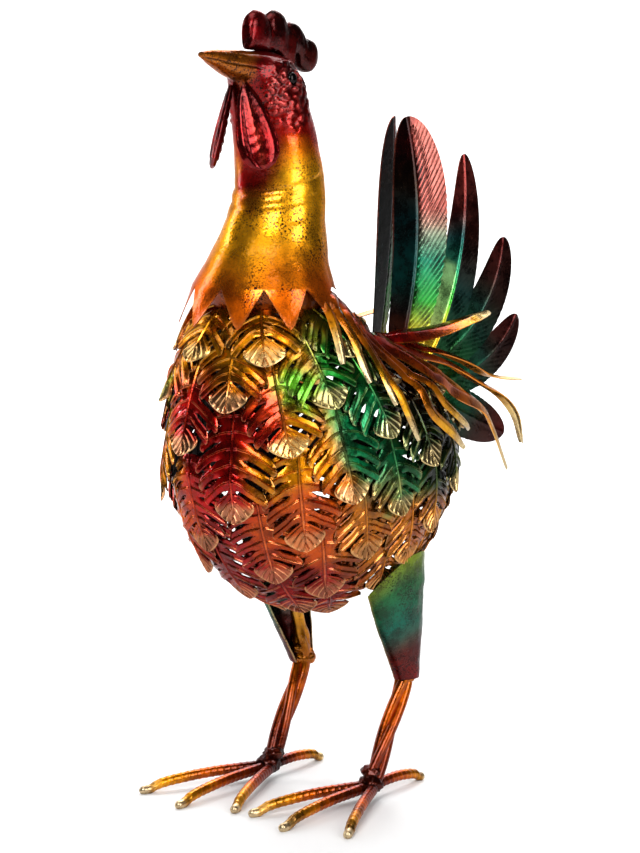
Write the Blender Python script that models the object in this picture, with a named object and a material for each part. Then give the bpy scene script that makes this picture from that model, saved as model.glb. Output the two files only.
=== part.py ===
"""Garden ornament: a standing hen of pressed sheet iron and bar, painted in candy lacquers.

The hen faces -Y and stands on its toes at Z = 0, with its left side at +X. Lengths are in
metres. Every piece is one closed solid, and welded pieces meet with a hairline gap between them.
"""

import math

import bmesh
import bpy
import numpy as np
from mathutils import Vector

# Sheet, bar and weld
WELD_GAP = 0.0004
SHEET = 0.0012
TOE_BAR_RADIUS = 0.0042
SHANK_RADIUS = 0.0076
SHANK_ROD_RELIEF = 0.0016
SHANK_TWIST_PITCH = 0.17

# Body: an egg that is tall over the breast and low at the back
BODY_MIDDLE_Y = -0.010
BODY_MIDDLE_Z = 0.262
BODY_HALF_WIDTH = 0.091
BODY_BREAST = 0.131
BODY_REAR = 0.131
BODY_DROP = 0.114
BODY_RISE = 0.121
BODY_BREAST_RISE = 0.52
BODY_FULLNESS = 2.35
BODY_BELLY_FULLNESS = 1.7
BODY_BELLY_TUCK = 0.12
BODY_BACK_PINCH = 1.5
BODY_BACK_RISES = (0.50, 0.95)
BODY_BACK_RUNS = (-0.45, 0.10)

# Leaves of the body, in staggered rings round an axis that leans forward into the neck
LEAF_RINGS = 9
LEAVES_IN_RING = 8
NECK_OPENING = math.radians(20)
BELLY_OPENING = math.radians(160)
RING_LEAN_AT_NECK = math.radians(21)
RING_LEAN_AT_BELLY = math.radians(8)
LEAF_TOOTH_SHARE = 0.66
FIRST_RING_SHARE = 0.45
LEAF_LIFT = 0.0045
LEAF_SIDE_DIP = 0.55
LEAF_LAP_SHARE = 0.07
LEAF_RIB_SHARE = 0.17
LEAF_RIB_HEIGHT = 0.0016
RIB_TOP_SHARE = 0.4
LEAF_COLUMNS = (0.0, LEAF_RIB_SHARE, 1.0)
LEAF_ROWS = (0.0, 0.42, 0.58, 1.0)
SLOT_ROW = 1
UNDERSIDE_CLEARANCE = 1.45

# Neck and head, as sections: front Y, front Z, back Y, back Z and half width
NECK_SECTIONS = (
    (-0.122, 0.400, -0.023, 0.400, 0.055),
    (-0.112, 0.418, -0.0225, 0.418, 0.046),
    (-0.098, 0.440, -0.0210, 0.440, 0.0395),
    (-0.0865, 0.476, -0.0185, 0.476, 0.0335),
    (-0.0895, 0.505, -0.0255, 0.505, 0.0315),
    (-0.094, 0.527, -0.033, 0.530, 0.0290),
    (-0.099, 0.541, -0.0415, 0.556, 0.0255),
    (-0.101, 0.547, -0.060, 0.569, 0.0215),
    (-0.104, 0.550, -0.092, 0.5715, 0.0150),
    (-0.114, 0.5525, -0.114, 0.5725, 0.0108),
    (-0.130, 0.5595, -0.131, 0.572, 0.0070),
    (-0.142, 0.5655, -0.143, 0.5705, 0.0034),
)
NECK_SIDES = 20
HEAD_HOLLOW_SECTIONS = 7
HACKLE_REACH = 0.030
HACKLE_FLARE = 0.016
HACKLE_REAR_SHARE = 0.12
HACKLE_CLEARANCE = 0.0012

# Comb: four round lobes that step down to the back of the head
COMB_LOBES = (
    (-0.0800, 0.5885, 0.0120),
    (-0.0585, 0.5885, 0.0122),
    (-0.0385, 0.5800, 0.0122),
    (-0.0210, 0.5680, 0.0126),
)
COMB_HALF_THICKNESS = 0.0075
COMB_STATIONS = 19
COMB_SIDES = 8

# Wattles: puffy teardrops that hang below the beak
WATTLE_LENGTH = 0.062
WATTLE_WIDTH = 0.027
WATTLE_THICKNESS = 0.0085
WATTLE_TOP = (0.0062, -0.1020, 0.5465)
WATTLE_SPLAY = math.radians(17)
WATTLE_TURN = math.radians(53)

# Tail: five feathers a side, listed from the upright one down. A feather bends upwards, so its row
# of leans gives the lean in degrees at its root, at a fifth of its length and at its tip
TAIL_ROOT_X = 0.0140
TAIL_ROOT_Y = 0.0955
TAIL_SPLAY = math.radians(19)
TAIL_TILT = math.radians(2.7)
TAIL_LEANS = ((-14, 15.5, -13), (69, 28.5, -5), (64, 66, 6), (92, 92, 27), (113, 119, 114))
TAIL_BEND_SHARE = 0.2
TAIL_LENGTHS = (0.2035, 0.1925, 0.1540, 0.1265, 0.103)
TAIL_WIDTHS = (0.0530, 0.0392, 0.0375, 0.032, 0.038)
TAIL_WIDEST_SHARES = (0.62, 0.45, 0.50, 0.52, 0.55)
TAIL_TIP_POWERS = (2.0, 1.3, 1.8, 1.9, 2.0)
TAIL_ROOT_STEP = 0.0030
TAIL_ROOT_RISE = 0.0013
TAIL_STEM_WIDTH = 0.012
TAIL_TIP_HALF_WIDTH = 0.0050
TAIL_RIB_HEIGHT = 0.0016
TAIL_LAYER = 0.0031
TAIL_STATIONS = (0.0, 0.08, 0.16, 0.26, 0.40, 0.54, 0.68, 0.80, 0.90, 0.97, 1.0)

# Saddle: a folded sheet on each side of the back, cut into strips. Each row is a strip, from the
# collar round to the tail: how far out its tip is as a share of the body's half width, the tip's Y
# and Z, and how far the strip bows upwards on the way there
SADDLE_ROOT_SPREADS = (0.62, 0.30)
SADDLE_ROOT_YS = (-0.034, 0.084)
SADDLE_SHEET_SHARE = 0.16
SADDLE_STRIPS = (
    (0.9451, -0.088, 0.345, 0.008),
    (1.0549, -0.066, 0.331, 0.010),
    (1.1099, -0.040, 0.312, 0.014),
    (1.1209, -0.010, 0.285, 0.018),
    (1.0330, 0.050, 0.268, 0.020),
    (0.9451, 0.070, 0.285, 0.014),
    (0.8571, 0.094, 0.281, 0.014),
    (0.7692, 0.150, 0.242, 0.040),
    (0.6813, 0.186, 0.257, 0.040),
    (0.6264, 0.191, 0.307, 0.012),
    (0.5275, 0.157, 0.363, -0.016),
)
STRIP_WIDTH = 0.0088
STRIP_FOLD = 0.0026
STRIP_STATIONS = ((0.45, 1.0), (0.75, 0.72), (1.0, 0.24))
STRIP_CLEARANCE = 0.0016

# Legs: a twisted bundle of rods from the foot up past the hock into the half-cone thigh
STANCE_HALF_WIDTH = 0.050
SHANK_FOOT_Y = -0.004
SHANK_TOP_Y = 0.026
HOCK_BACK = 0.043
HOCK_HEIGHT = 0.090
HOCK_BEND = 0.012
THIGH_TOP_MIDDLE = (0.056, 0.018)
THIGH_TOP_RADII = (0.017, 0.031)
THIGH_FOOT_BACK = 0.041
THIGH_FOOT_HEIGHT = 0.088
THIGH_FOOT_RADIUS = 0.0102
THIGH_WRAP = math.radians(200)
THIGH_STEPS = 8

# Feet: each toe has its angle from straight ahead, how far out its bar starts and where it ends
TOE_NAMES = ("inner", "middle", "outer", "hind")
TOE_ANGLES = tuple(math.radians(angle) for angle in (-21.5, 0, 25, 180))
TOE_STARTS = (0.0072, 0.0072, 0.0072, 0.0126)
TOE_ENDS = (0.105, 0.114, 0.109, 0.070)
TOE_HEIGHT = 0.0100
TOE_BASE_OFFSET = 0.0040
TOE_SIDES = 8
TOE_REST_HEIGHT = 0.0028
TOE_PROFILE = (
    (0.0, 0.0, 1.0),
    (0.30, -0.05, 1.0),
    (0.62, 0.15, 1.0),
    (0.84, 0.55, 0.96),
    (0.93, 1.0, 0.9),
    (1.0, 1.0, 0.78),
)


def lerp(start, end, share):
    """Blend two values or points."""
    return start + (end - start) * share


def paint(name, colour, roughness):
    """Make the candy-lacquered metal of one piece."""
    material = bpy.data.materials.new(name + "_paint")
    material.use_nodes = True
    shader = material.node_tree.nodes["Principled BSDF"]
    shader.inputs["Base Color"].default_value = (*colour, 1.0)
    shader.inputs["Roughness"].default_value = roughness
    shader.inputs["Metallic"].default_value = 1.0
    return material


def add_piece(name, points, faces, colour, roughness=0.28, smooth_angle=math.radians(40)):
    """Add one closed solid to the scene from its points and faces."""
    mesh = bpy.data.meshes.new(name)
    mesh.from_pydata([tuple(point) for point in points], [], faces)
    work = bmesh.new()
    work.from_mesh(mesh)
    bmesh.ops.triangulate(work, faces=work.faces[:])
    bmesh.ops.recalc_face_normals(work, faces=work.faces[:])
    work.to_mesh(mesh)
    work.free()
    mesh.shade_smooth()
    mesh.set_sharp_from_angle(angle=smooth_angle)
    mesh.materials.append(paint(name, colour, roughness))
    piece = bpy.data.objects.new(name, mesh)
    bpy.context.scene.collection.objects.link(piece)
    return piece


def mirrored(points):
    """Return the points reflected to the other side of the bird."""
    return np.array(points) * (-1, 1, 1)


def add_pair(name, points, faces, colour, roughness=0.28):
    """Add a piece on the left side and its mirror image on the right."""
    add_piece(name.format("left"), points, faces, colour, roughness)
    add_piece(name.format("right"), mirrored(points), faces, colour, roughness)


def loft(rings, first_cap=True, last_cap=True):
    """Return the points and faces of a tube through closed rings of equal length."""
    size = len(rings[0])
    points = np.vstack(rings)
    faces = []
    for ring in range(len(rings) - 1):
        for corner in range(size):
            after = (corner + 1) % size
            low = ring * size
            faces.append((low + corner, low + after, low + size + after, low + size + corner))
    if first_cap:
        faces.append(tuple(range(size)))
    if last_cap:
        faces.append(tuple(range(len(points) - size, len(points))))
    return points, faces


def eased(ends, value):
    """Return 0 below the first end, 1 above the second and a smooth rise between them."""
    share = min(1.0, max(0.0, (value - ends[0]) / (ends[1] - ends[0])))
    return share * share * (3 - 2 * share)


def body_scale(offset):
    """Return how far out an offset from the body's middle lies: 1 on the surface, more outside."""
    x, y, z = offset
    rise = BODY_RISE * (1 - BODY_BREAST_RISE * y / BODY_BREAST)
    level = z / max(rise, 0.2 * BODY_RISE) if z > 0 else z / BODY_DROP
    breast = BODY_BREAST * (1 + BODY_BELLY_TUCK * min(z, 0) / BODY_DROP)
    along = y / breast if y < 0 else y / BODY_REAR
    power = BODY_FULLNESS
    upright = power if z > 0 else BODY_BELLY_FULLNESS
    reach = max(math.sqrt(x * x + y * y + z * z), 1e-9)
    pinch = 1 + BODY_BACK_PINCH * eased(BODY_BACK_RISES, z / reach) * eased(BODY_BACK_RUNS, y / reach)
    total = pinch * abs(x / BODY_HALF_WIDTH) ** power + abs(along) ** power + abs(level) ** upright
    return total ** (1 / power)


def body_surface(turn, fall, proud=0.0):
    """Return a point of the body.

    turn is the angle round the ring from the breast towards the left side, fall is the angle down
    from the neck, and proud is how far outside the surface the point lies.
    """
    lean = lerp(RING_LEAN_AT_BELLY, RING_LEAN_AT_NECK, max(0.0, math.cos(fall)))
    up = Vector((0, -math.sin(lean), math.cos(lean)))
    forward = Vector((0, -math.cos(lean), -math.sin(lean)))
    out = math.cos(turn) * forward + math.sin(turn) * Vector((1, 0, 0))
    direction = math.cos(fall) * up + math.sin(fall) * out
    near, far = 0.2 * BODY_DROP, 3 * BODY_BREAST
    for _ in range(40):
        middle = (near + far) / 2
        if body_scale(direction * middle) < 1:
            near = middle
        else:
            far = middle
    return Vector((0, BODY_MIDDLE_Y, BODY_MIDDLE_Z)) + direction * (near + proud)


def clear_of_body(point, margin):
    """Push a point outwards from the body's middle until it clears the surface by the margin."""
    middle = Vector((0, BODY_MIDDLE_Y, BODY_MIDDLE_Z))
    offset = Vector(point) - middle
    wanted = offset.length / body_scale(offset) + margin
    return middle + offset.normalized() * max(wanted, offset.length)


def body_height(x, y, side):
    """Return the height of the body's top (side 1) or underside (side -1) at a point of the plan."""
    low, high = 0.0, 2 * BODY_RISE
    for _ in range(40):
        middle = (low + high) / 2
        if body_scale((x, y - BODY_MIDDLE_Y, side * middle)) > 1:
            high = middle
        else:
            low = middle
    return BODY_MIDDLE_Z + side * high


def body_underside(x, y):
    """Return the height that clears the leaf edges below the body at a point of the plan."""
    return body_height(x, y, -1) - UNDERSIDE_CLEARANCE * (LEAF_LIFT + LEAF_RIB_HEIGHT)


def ring_turns(count):
    """Return turns that space points evenly along the widest ring, the first at the breast."""
    fine = np.linspace(0, 2 * math.pi, 361)
    walk = [body_surface(turn, math.pi / 2) for turn in fine]
    steps = [(end - start).length for start, end in zip(walk, walk[1:])]
    run = np.concatenate([[0], np.cumsum(steps)])
    return np.interp(np.arange(count) / count * run[-1], run, fine)


def leaf_corner(turns, ring, column, share, line, inner):
    """Return a point of the half leaf that spans a column, and the key that neighbours share it by.

    share runs from the leaf's rib to its side, line counts the rows from its top to its lower
    edge, and inner chooses the sheet's inside.
    """
    ring_step = (BELLY_OPENING - NECK_OPENING) / (LEAF_RINGS - 1 + LEAF_TOOTH_SHARE)
    tooth = ring_step * LEAF_TOOTH_SHARE
    side = 1 if (column + ring) % 2 == 0 else -1
    rib = column if side == 1 else column + 1
    place = (rib + side * share) % (2 * LEAVES_IN_RING)
    tip = NECK_OPENING + tooth + ring * ring_step
    low = lerp(tip, tip - tooth, share)
    high = lerp(tip - ring_step - tooth, tip - ring_step, share)
    if ring == 0:
        high = NECK_OPENING
        low = max(low, NECK_OPENING + FIRST_RING_SHARE * tooth)
    depth = LEAF_ROWS[line]
    fall = lerp(high, low, depth)
    bottom = line == len(LEAF_ROWS) - 1
    on_step = bottom and ring < LEAF_RINGS - 1 or line == 0 and ring > 0
    if inner and on_step:
        fall -= ring_step * LEAF_LAP_SHARE
    proud = LEAF_LIFT * depth * (1 - LEAF_SIDE_DIP * share) - (SHEET if inner else 0)
    if share == 0:
        proud += LEAF_RIB_HEIGHT * lerp(RIB_TOP_SHARE, 1, depth)
    turn = np.interp(place, range(len(turns)), turns)
    return body_surface(turn, fall, proud), (round(place, 4), ring, line, inner)


def build_body():
    """The cage of leaves: overlapping rings of ribbed leaves with a slot on each side of the rib."""
    half_columns = 2 * LEAVES_IN_RING
    turns = np.append(ring_turns(half_columns), 2 * math.pi)
    points = []
    index = {}
    faces = []

    def corner(ring, column, share, line, inner):
        """Return the index of one corner of a half leaf."""
        point, key = leaf_corner(turns, ring, column, share, line, inner)
        if key not in index:
            index[key] = len(points)
            points.append(point)
        return index[key]

    def rim(ring, column, start, end):
        """Join the sheet's outside to its inside between two (share, line) corners."""
        outer = [corner(ring, column, share, line, False) for share, line in (start, end)]
        inner = [corner(ring, column, share, line, True) for share, line in (end, start)]
        faces.append(tuple(outer + inner))

    bottom = len(LEAF_ROWS) - 1
    for ring in range(LEAF_RINGS):
        for column in range(half_columns):
            for line in range(bottom):
                for start, end in zip(LEAF_COLUMNS, LEAF_COLUMNS[1:]):
                    if start == LEAF_RIB_SHARE and line == SLOT_ROW:
                        continue
                    for inner in (False, True):
                        cell = ((start, line), (end, line), (end, line + 1), (start, line + 1))
                        faces.append(tuple(corner(ring, column, share, row, inner) for share, row in cell))
            for row in (SLOT_ROW, SLOT_ROW + 1):
                rim(ring, column, (LEAF_RIB_SHARE, row), (1.0, row))
            rim(ring, column, (LEAF_RIB_SHARE, SLOT_ROW), (LEAF_RIB_SHARE, SLOT_ROW + 1))
            if ring < LEAF_RINGS - 1:
                faces += step_faces(ring, column, corner)
            for edge_ring, row in ((0, 0), (LEAF_RINGS - 1, bottom)):
                if ring == edge_ring:
                    for start, end in zip(LEAF_COLUMNS, LEAF_COLUMNS[1:]):
                        rim(ring, column, (start, row), (end, row))
    add_piece("body_of_leaves", points, faces, (0.55, 0.13, 0.03), smooth_angle=math.radians(25))


def step_faces(ring, column, corner):
    """Close the step from one ring's lower edge down to the next ring's upper edge, on both sides."""
    faces = []
    for inner in (False, True):
        upper = [(share, corner(ring, column, share, len(LEAF_ROWS) - 1, inner)) for share in LEAF_COLUMNS]
        lower = [(1 - share, corner(ring + 1, column, share, 0, inner)) for share in LEAF_COLUMNS[::-1]]
        high = low = 0
        while high < len(upper) - 1 or low < len(lower) - 1:
            next_high = upper[high + 1][0] if high < len(upper) - 1 else 2.0
            next_low = lower[low + 1][0] if low < len(lower) - 1 else 2.0
            if next_high <= next_low:
                faces.append((upper[high][1], upper[high + 1][1], lower[low][1]))
                high += 1
            else:
                faces.append((upper[high][1], lower[low + 1][1], lower[low][1]))
                low += 1
    return faces


def head_ring(section, inset=0.0):
    """Return one closed ring of the neck or head, drawn in by the inset."""
    front_y, front_z, back_y, back_z, half_width = section
    front = Vector((0, front_y, front_z))
    back = Vector((0, back_y, back_z))
    middle = (front + back) / 2
    reach = (back - front) / 2
    reach = reach * (1 - inset / reach.length)
    ring = []
    for side in range(NECK_SIDES):
        angle = 2 * math.pi * side / NECK_SIDES
        ring.append(middle - reach * math.cos(angle) + Vector((half_width - inset, 0, 0)) * math.sin(angle))
    return ring


def hackle_tips(ring, middle, inner):
    """Return the ring with every second point drawn down into a hackle tip that clears the body."""
    tips = []
    for side, point in enumerate(ring):
        if side % 2 == 0:
            tips.append(point)
            continue
        out = Vector((point.x - middle.x, point.y - middle.y, 0)).normalized()
        rear = min(1.0, max(0.0, 0.5 + 1.4 * out.y))
        share = lerp(1.0, HACKLE_REAR_SHARE, rear)
        tip = point + (out * HACKLE_FLARE + Vector((0, 0, -HACKLE_REACH))) * share
        margin = LEAF_LIFT + LEAF_RIB_HEIGHT + HACKLE_CLEARANCE
        tips.append(clear_of_body(tip, margin if inner else margin + SHEET))
    return tips


def build_head_and_neck():
    """The hollow neck and head, open below, with the beak and the pointed hackle edge."""
    outer = [head_ring(section) for section in NECK_SECTIONS]
    inner = [head_ring(section, SHEET) for section in NECK_SECTIONS[:HEAD_HOLLOW_SECTIONS]]
    middle = (outer[0][0] + outer[0][NECK_SIDES // 2]) / 2
    outer_points, outer_faces = loft(outer, first_cap=False)
    inner_points, inner_faces = loft(inner, first_cap=False)
    base = len(outer_points)
    points = list(map(Vector, outer_points)) + list(map(Vector, inner_points))
    faces = outer_faces + [tuple(base + corner for corner in face) for face in inner_faces]
    outer_tips = hackle_tips(outer[0], middle, inner=False)
    inner_tips = hackle_tips(inner[0], middle, inner=True)
    for side in range(1, NECK_SIDES, 2):
        outer_tip = len(points)
        points += [outer_tips[side], inner_tips[side]]
        inner_tip = outer_tip + 1
        for step in (-1, 1):
            notch = (side + step) % NECK_SIDES
            faces.append((side, notch, outer_tip))
            faces.append((base + side, base + notch, inner_tip))
            faces.append((outer_tip, notch, base + notch, inner_tip))
    add_piece("head_and_neck", points, faces, (0.80, 0.36, 0.02))


def crown_height(y):
    """Return the height of the head's top on the middle line."""
    back = [(section[2], section[3]) for section in NECK_SECTIONS[5:10]]
    back.sort()
    return float(np.interp(y, [row[0] for row in back], [row[1] for row in back]))


def build_comb():
    """The puffy lobed comb, seated along the crown."""
    front = COMB_LOBES[0][0] - COMB_LOBES[0][2]
    rear = COMB_LOBES[-1][0] + COMB_LOBES[-1][2]
    rings = []
    for station in range(COMB_STATIONS):
        share = 0.5 - 0.5 * math.cos(math.pi * (0.04 + 0.92 * station / (COMB_STATIONS - 1)))
        y = lerp(front, rear, share)
        tops = [z + math.sqrt(r * r - (y - c) ** 2) for c, z, r in COMB_LOBES if abs(y - c) < r]
        lows = [z - math.sqrt(r * r - (y - c) ** 2) for c, z, r in COMB_LOBES if abs(y - c) < r]
        low = crown_height(y) + 3 * WELD_GAP if y < NECK_SECTIONS[6][2] else min(lows)
        top = max(tops)
        half = (top - low) / 2
        thick = COMB_HALF_THICKNESS * min(1.0, math.sqrt(half / COMB_LOBES[0][2]))
        ring = []
        for side in range(COMB_SIDES):
            angle = 2 * math.pi * (side + 0.5) / COMB_SIDES
            ring.append((thick * math.cos(angle), y, (top + low) / 2 + half * math.sin(angle)))
        rings.append(ring)
    points, faces = loft([np.array(ring) for ring in rings])
    add_piece("comb", points, faces, (0.45, 0.01, 0.012))


def build_wattles():
    """The two teardrop wattles below the beak."""
    top = Vector(WATTLE_TOP)
    down = Vector((math.sin(WATTLE_SPLAY), 0, -math.cos(WATTLE_SPLAY)))
    flat = Vector((math.cos(WATTLE_TURN), math.sin(WATTLE_TURN), 0))
    flat = (flat - down * flat.dot(down)).normalized()
    face = down.cross(flat)
    rings = []
    for share, width, thickness in (
        (0.0, 0.12, 0.35),
        (0.12, 0.34, 0.6),
        (0.30, 0.62, 0.8),
        (0.50, 0.86, 0.95),
        (0.68, 1.0, 1.0),
        (0.84, 0.90, 0.9),
        (0.95, 0.56, 0.6),
        (1.0, 0.20, 0.3),
    ):
        middle = top + down * (share * WATTLE_LENGTH)
        ring = []
        for side in range(8):
            angle = math.pi * side / 4
            across = flat * (math.cos(angle) * width * WATTLE_WIDTH / 2)
            ring.append(middle + across + face * (math.sin(angle) * thickness * WATTLE_THICKNESS / 2))
        rings.append(np.array(ring))
    points, faces = loft(rings)
    add_pair("wattle_{}", points, faces, (0.50, 0.008, 0.012), 0.18)


def feather_half_width(share, place):
    """Return a tail feather's half width at a share of its length, from the stem to the tip."""
    widest = TAIL_WIDEST_SHARES[place]
    if share < widest:
        rise = math.sin(math.pi / 2 * share / widest)
        return lerp(TAIL_STEM_WIDTH, TAIL_WIDTHS[place], rise) / 2
    fall = ((share - widest) / (1 - widest)) ** TAIL_TIP_POWERS[place]
    return max(TAIL_WIDTHS[place] / 2 * math.sqrt(max(0.0, 1 - fall)), TAIL_TIP_HALF_WIDTH)


def feather_lean(share, place):
    """Return how far a tail feather leans back from upright at a share of its length."""
    root, bend, tip = TAIL_LEANS[place]
    if share < TAIL_BEND_SHARE:
        return math.radians(lerp(root, bend, share / TAIL_BEND_SHARE))
    return math.radians(lerp(bend, tip, (share - TAIL_BEND_SHARE) / (1 - TAIL_BEND_SHARE)))


def build_tail():
    """Two fans of five feathers, each feather a ribbed blade laid behind the one above it."""
    fan_back = Vector((math.sin(TAIL_SPLAY), math.cos(TAIL_SPLAY), 0))
    outward = Vector((math.cos(TAIL_SPLAY), -math.sin(TAIL_SPLAY), 0))
    fan_up = Vector((0, 0, math.cos(TAIL_TILT))) - outward * math.sin(TAIL_TILT)
    fan_out = outward * math.cos(TAIL_TILT) + Vector((0, 0, math.sin(TAIL_TILT)))
    for place, length in enumerate(TAIL_LENGTHS):
        root = Vector((TAIL_ROOT_X, TAIL_ROOT_Y, 0))
        root += fan_back * (TAIL_ROOT_STEP * place) - fan_out * (TAIL_LAYER * place)
        root.z = body_height(root.x, root.y, 1) + LEAF_LIFT + TAIL_STEM_WIDTH / 2 + TAIL_ROOT_RISE * place
        back = fan_out * -SHEET
        rings = []
        middle, last = root, 0.0
        for share in TAIL_STATIONS:
            step_lean = feather_lean((share + last) / 2, place)
            middle = middle + (fan_back * math.sin(step_lean) + fan_up * math.cos(step_lean)) * (
                length * (share - last)
            )
            last = share
            lean = feather_lean(share, place)
            wide = fan_back * math.cos(lean) - fan_up * math.sin(lean)
            half = feather_half_width(share, place)
            rib = fan_out * (TAIL_RIB_HEIGHT * min(1.0, 3 * (1 - share) + 0.3))
            outer = [middle - wide * half, middle + rib, middle + wide * half]
            rings.append(np.array(outer + [point + back for point in outer[::-1]]))
        points, faces = loft(rings)
        add_pair("tail_feather_{}_" + str(place + 1), points, faces, (0.02, 0.20, 0.16), 0.3)


def build_saddle():
    """The folded saddle sheet on each side of the back, cut into tapering strips."""
    points = []
    faces = []

    def add(point):
        """Keep a point and return its index."""
        points.append(point)
        return len(points) - 1

    def patch(near, far, beyond, behind):
        """Close a twisted four-sided patch with two flat triangles."""
        faces.append((near, far, beyond))
        faces.append((near, beyond, behind))

    root_line = []
    edge_line = []
    for place in range(2 * len(SADDLE_STRIPS) + 1):
        share = place / 2 - 0.5
        fold = STRIP_FOLD if place % 2 else 0.0
        for line, along in ((root_line, 0.0), (edge_line, SADDLE_SHEET_SHARE)):
            point = strip_point(share, along)
            out = body_normal(point)
            line.append((add(point + out * fold), add(point + out * (fold - SHEET))))
    for place in range(2 * len(SADDLE_STRIPS)):
        near, far = place, place + 1
        for layer in (0, 1):
            corners = (root_line[near], root_line[far], edge_line[far], edge_line[near])
            patch(*(corner[layer] for corner in corners))
        patch(root_line[near][0], root_line[far][0], root_line[far][1], root_line[near][1])
    for end in (0, -1):
        patch(root_line[end][0], edge_line[end][0], edge_line[end][1], root_line[end][1])
    for number in range(len(SADDLE_STRIPS)):
        base = [edge_line[2 * number + step] for step in range(3)]
        ring = [base[0][0], base[1][0], base[2][0], base[2][1], base[1][1], base[0][1]]
        for section in strip_sections(number):
            following = [add(point) for point in section]
            for corner in range(len(ring)):
                after = (corner + 1) % len(ring)
                patch(ring[corner], ring[after], following[after], following[corner])
            ring = following
        faces.append(tuple(ring))
    add_pair("saddle_feathers_{}", points, faces, (0.72, 0.26, 0.03))


def body_normal(point):
    """Return the direction that leads straight away from the body at a point near it."""
    offset = Vector(point) - Vector((0, BODY_MIDDLE_Y, BODY_MIDDLE_Z))
    step = SHEET
    slope = []
    for axis in range(3):
        ahead = offset.copy()
        behind = offset.copy()
        ahead[axis] += step
        behind[axis] -= step
        slope.append(body_scale(ahead) - body_scale(behind))
    return Vector(slope).normalized()


def strip_point(number, along):
    """Return a point of a strip's middle line; a fractional number lies between two strips."""
    rows = np.array(SADDLE_STRIPS)
    place = min(max(number, 0.0), len(rows) - 1.0)
    spread, y, z, bow = (np.interp(place, range(len(rows)), rows[:, column]) for column in range(4))
    share = (number + 0.5) / len(rows)
    root_x = lerp(*SADDLE_ROOT_SPREADS, share) * BODY_HALF_WIDTH
    root_y = lerp(*SADDLE_ROOT_YS, share)
    lift = LEAF_LIFT + LEAF_RIB_HEIGHT + SHEET + STRIP_CLEARANCE
    root = Vector((root_x, root_y, body_height(root_x, root_y, 1) + lift))
    tip = Vector((spread * BODY_HALF_WIDTH, y, z))
    crest = (root + tip) / 2 + Vector((0, 0, bow))
    point = root * (1 - along) ** 2 + crest * (2 * along * (1 - along)) + tip * along**2
    return clear_of_body(point, lift)


def strip_sections(number):
    """Return the rings of one folded strip beyond the saddle's edge."""
    sections = []
    for along, width_share in STRIP_STATIONS:
        middle = strip_point(number, along)
        heading = (middle - strip_point(number, along - 0.1)).normalized()
        across = body_normal(middle).cross(heading).normalized()
        out = heading.cross(across)
        side = across * (STRIP_WIDTH / 2 * width_share)
        up = out * (STRIP_FOLD * width_share)
        thick = out * -SHEET
        outer = [middle - side, middle + up, middle + side]
        sections.append(outer + [point + thick for point in outer[::-1]])
    return sections


def shank_line():
    """Return the middle line of a shank, from the foot up past the hock into the thigh."""
    x = STANCE_HALF_WIDTH
    foot = Vector((x, SHANK_FOOT_Y, TOE_HEIGHT))
    hock = Vector((x, HOCK_BACK, HOCK_HEIGHT))
    top = Vector((x, SHANK_TOP_Y, body_underside(x, SHANK_TOP_Y) - SHANK_RADIUS))
    lower = (hock - foot).normalized()
    upper = (top - hock).normalized()
    start, end = hock - lower * HOCK_BEND, hock + upper * HOCK_BEND
    curve = []
    for step in range(5):
        share = step / 4
        curve.append(lerp(lerp(start, hock, share), lerp(hock, end, share), share))
    climb = [lerp(foot, start, step / 5) for step in range(5)]
    return climb + curve + [lerp(end, top, 0.5), top]


def build_shanks():
    """The twisted rod bundles, each a lobed bar that turns as it climbs."""
    line = shank_line()
    rings = []
    travelled = 0.0
    for place, middle in enumerate(line):
        before = line[max(place - 1, 0)]
        after = line[min(place + 1, len(line) - 1)]
        travelled += (middle - before).length
        along = (after - before).normalized()
        side = Vector((1, 0, 0))
        front = along.cross(side).normalized()
        ring = []
        for lobe in range(8):
            angle = math.pi * lobe / 4 + 2 * math.pi * travelled / SHANK_TWIST_PITCH
            radius = SHANK_RADIUS - (SHANK_ROD_RELIEF if lobe % 2 else 0)
            ring.append(middle + side * (radius * math.cos(angle)) + front * (radius * math.sin(angle)))
        rings.append(np.array(ring))
    points, faces = loft(rings)
    add_pair("shank_{}", points, faces, (0.60, 0.20, 0.04), 0.35)


def toe_piece(angle, start, end, cuts):
    """Return a toe's points and faces: a bar that arches from the foot and rests on its flat tip."""
    heading = Vector((math.sin(angle), -math.cos(angle), 0))
    across = Vector((math.cos(angle), math.sin(angle), 0))
    foot = Vector((STANCE_HALF_WIDTH, SHANK_FOOT_Y, 0))
    base = foot + Vector((TOE_BASE_OFFSET * np.sign(round(heading.x, 6)), 0, 0))
    rings = []
    for share, drop, bulk in TOE_PROFILE:
        height = lerp(TOE_HEIGHT, TOE_REST_HEIGHT, drop)
        middle = base + heading * lerp(start, end, share) + Vector((0, 0, height))
        radius = TOE_BAR_RADIUS * bulk
        ring = []
        for side in range(TOE_SIDES):
            turn = 2 * math.pi * (side + 0.5) / TOE_SIDES
            point = middle + across * (radius * math.cos(turn)) + Vector((0, 0, radius * math.sin(turn)))
            point.z = max(point.z, 0.0)
            ring.append(point)
        rings.append(np.array(ring))
    points, faces = loft(rings)
    work = bmesh.new()
    corners = [work.verts.new(point) for point in points]
    for face in faces:
        work.faces.new([corners[corner] for corner in face])
    for side, cut in cuts:
        normal = Vector((math.cos(cut), math.sin(cut), 0)) * side
        cut_plane(work, foot - normal * (WELD_GAP / 2), normal)
    work.verts.index_update()
    cut_points = [vertex.co.copy() for vertex in work.verts]
    cut_faces = [tuple(vertex.index for vertex in face.verts) for face in work.faces]
    work.free()
    return cut_points, cut_faces


def cut_plane(work, place, normal):
    """Cut away what lies beyond a plane and close the cut."""
    whole = work.verts[:] + work.edges[:] + work.faces[:]
    result = bmesh.ops.bisect_plane(work, geom=whole, plane_co=place, plane_no=normal, clear_outer=True)
    edges = [item for item in result["geom_cut"] if isinstance(item, bmesh.types.BMEdge)]
    if edges:
        bmesh.ops.edgenet_fill(work, edges=edges)


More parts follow.
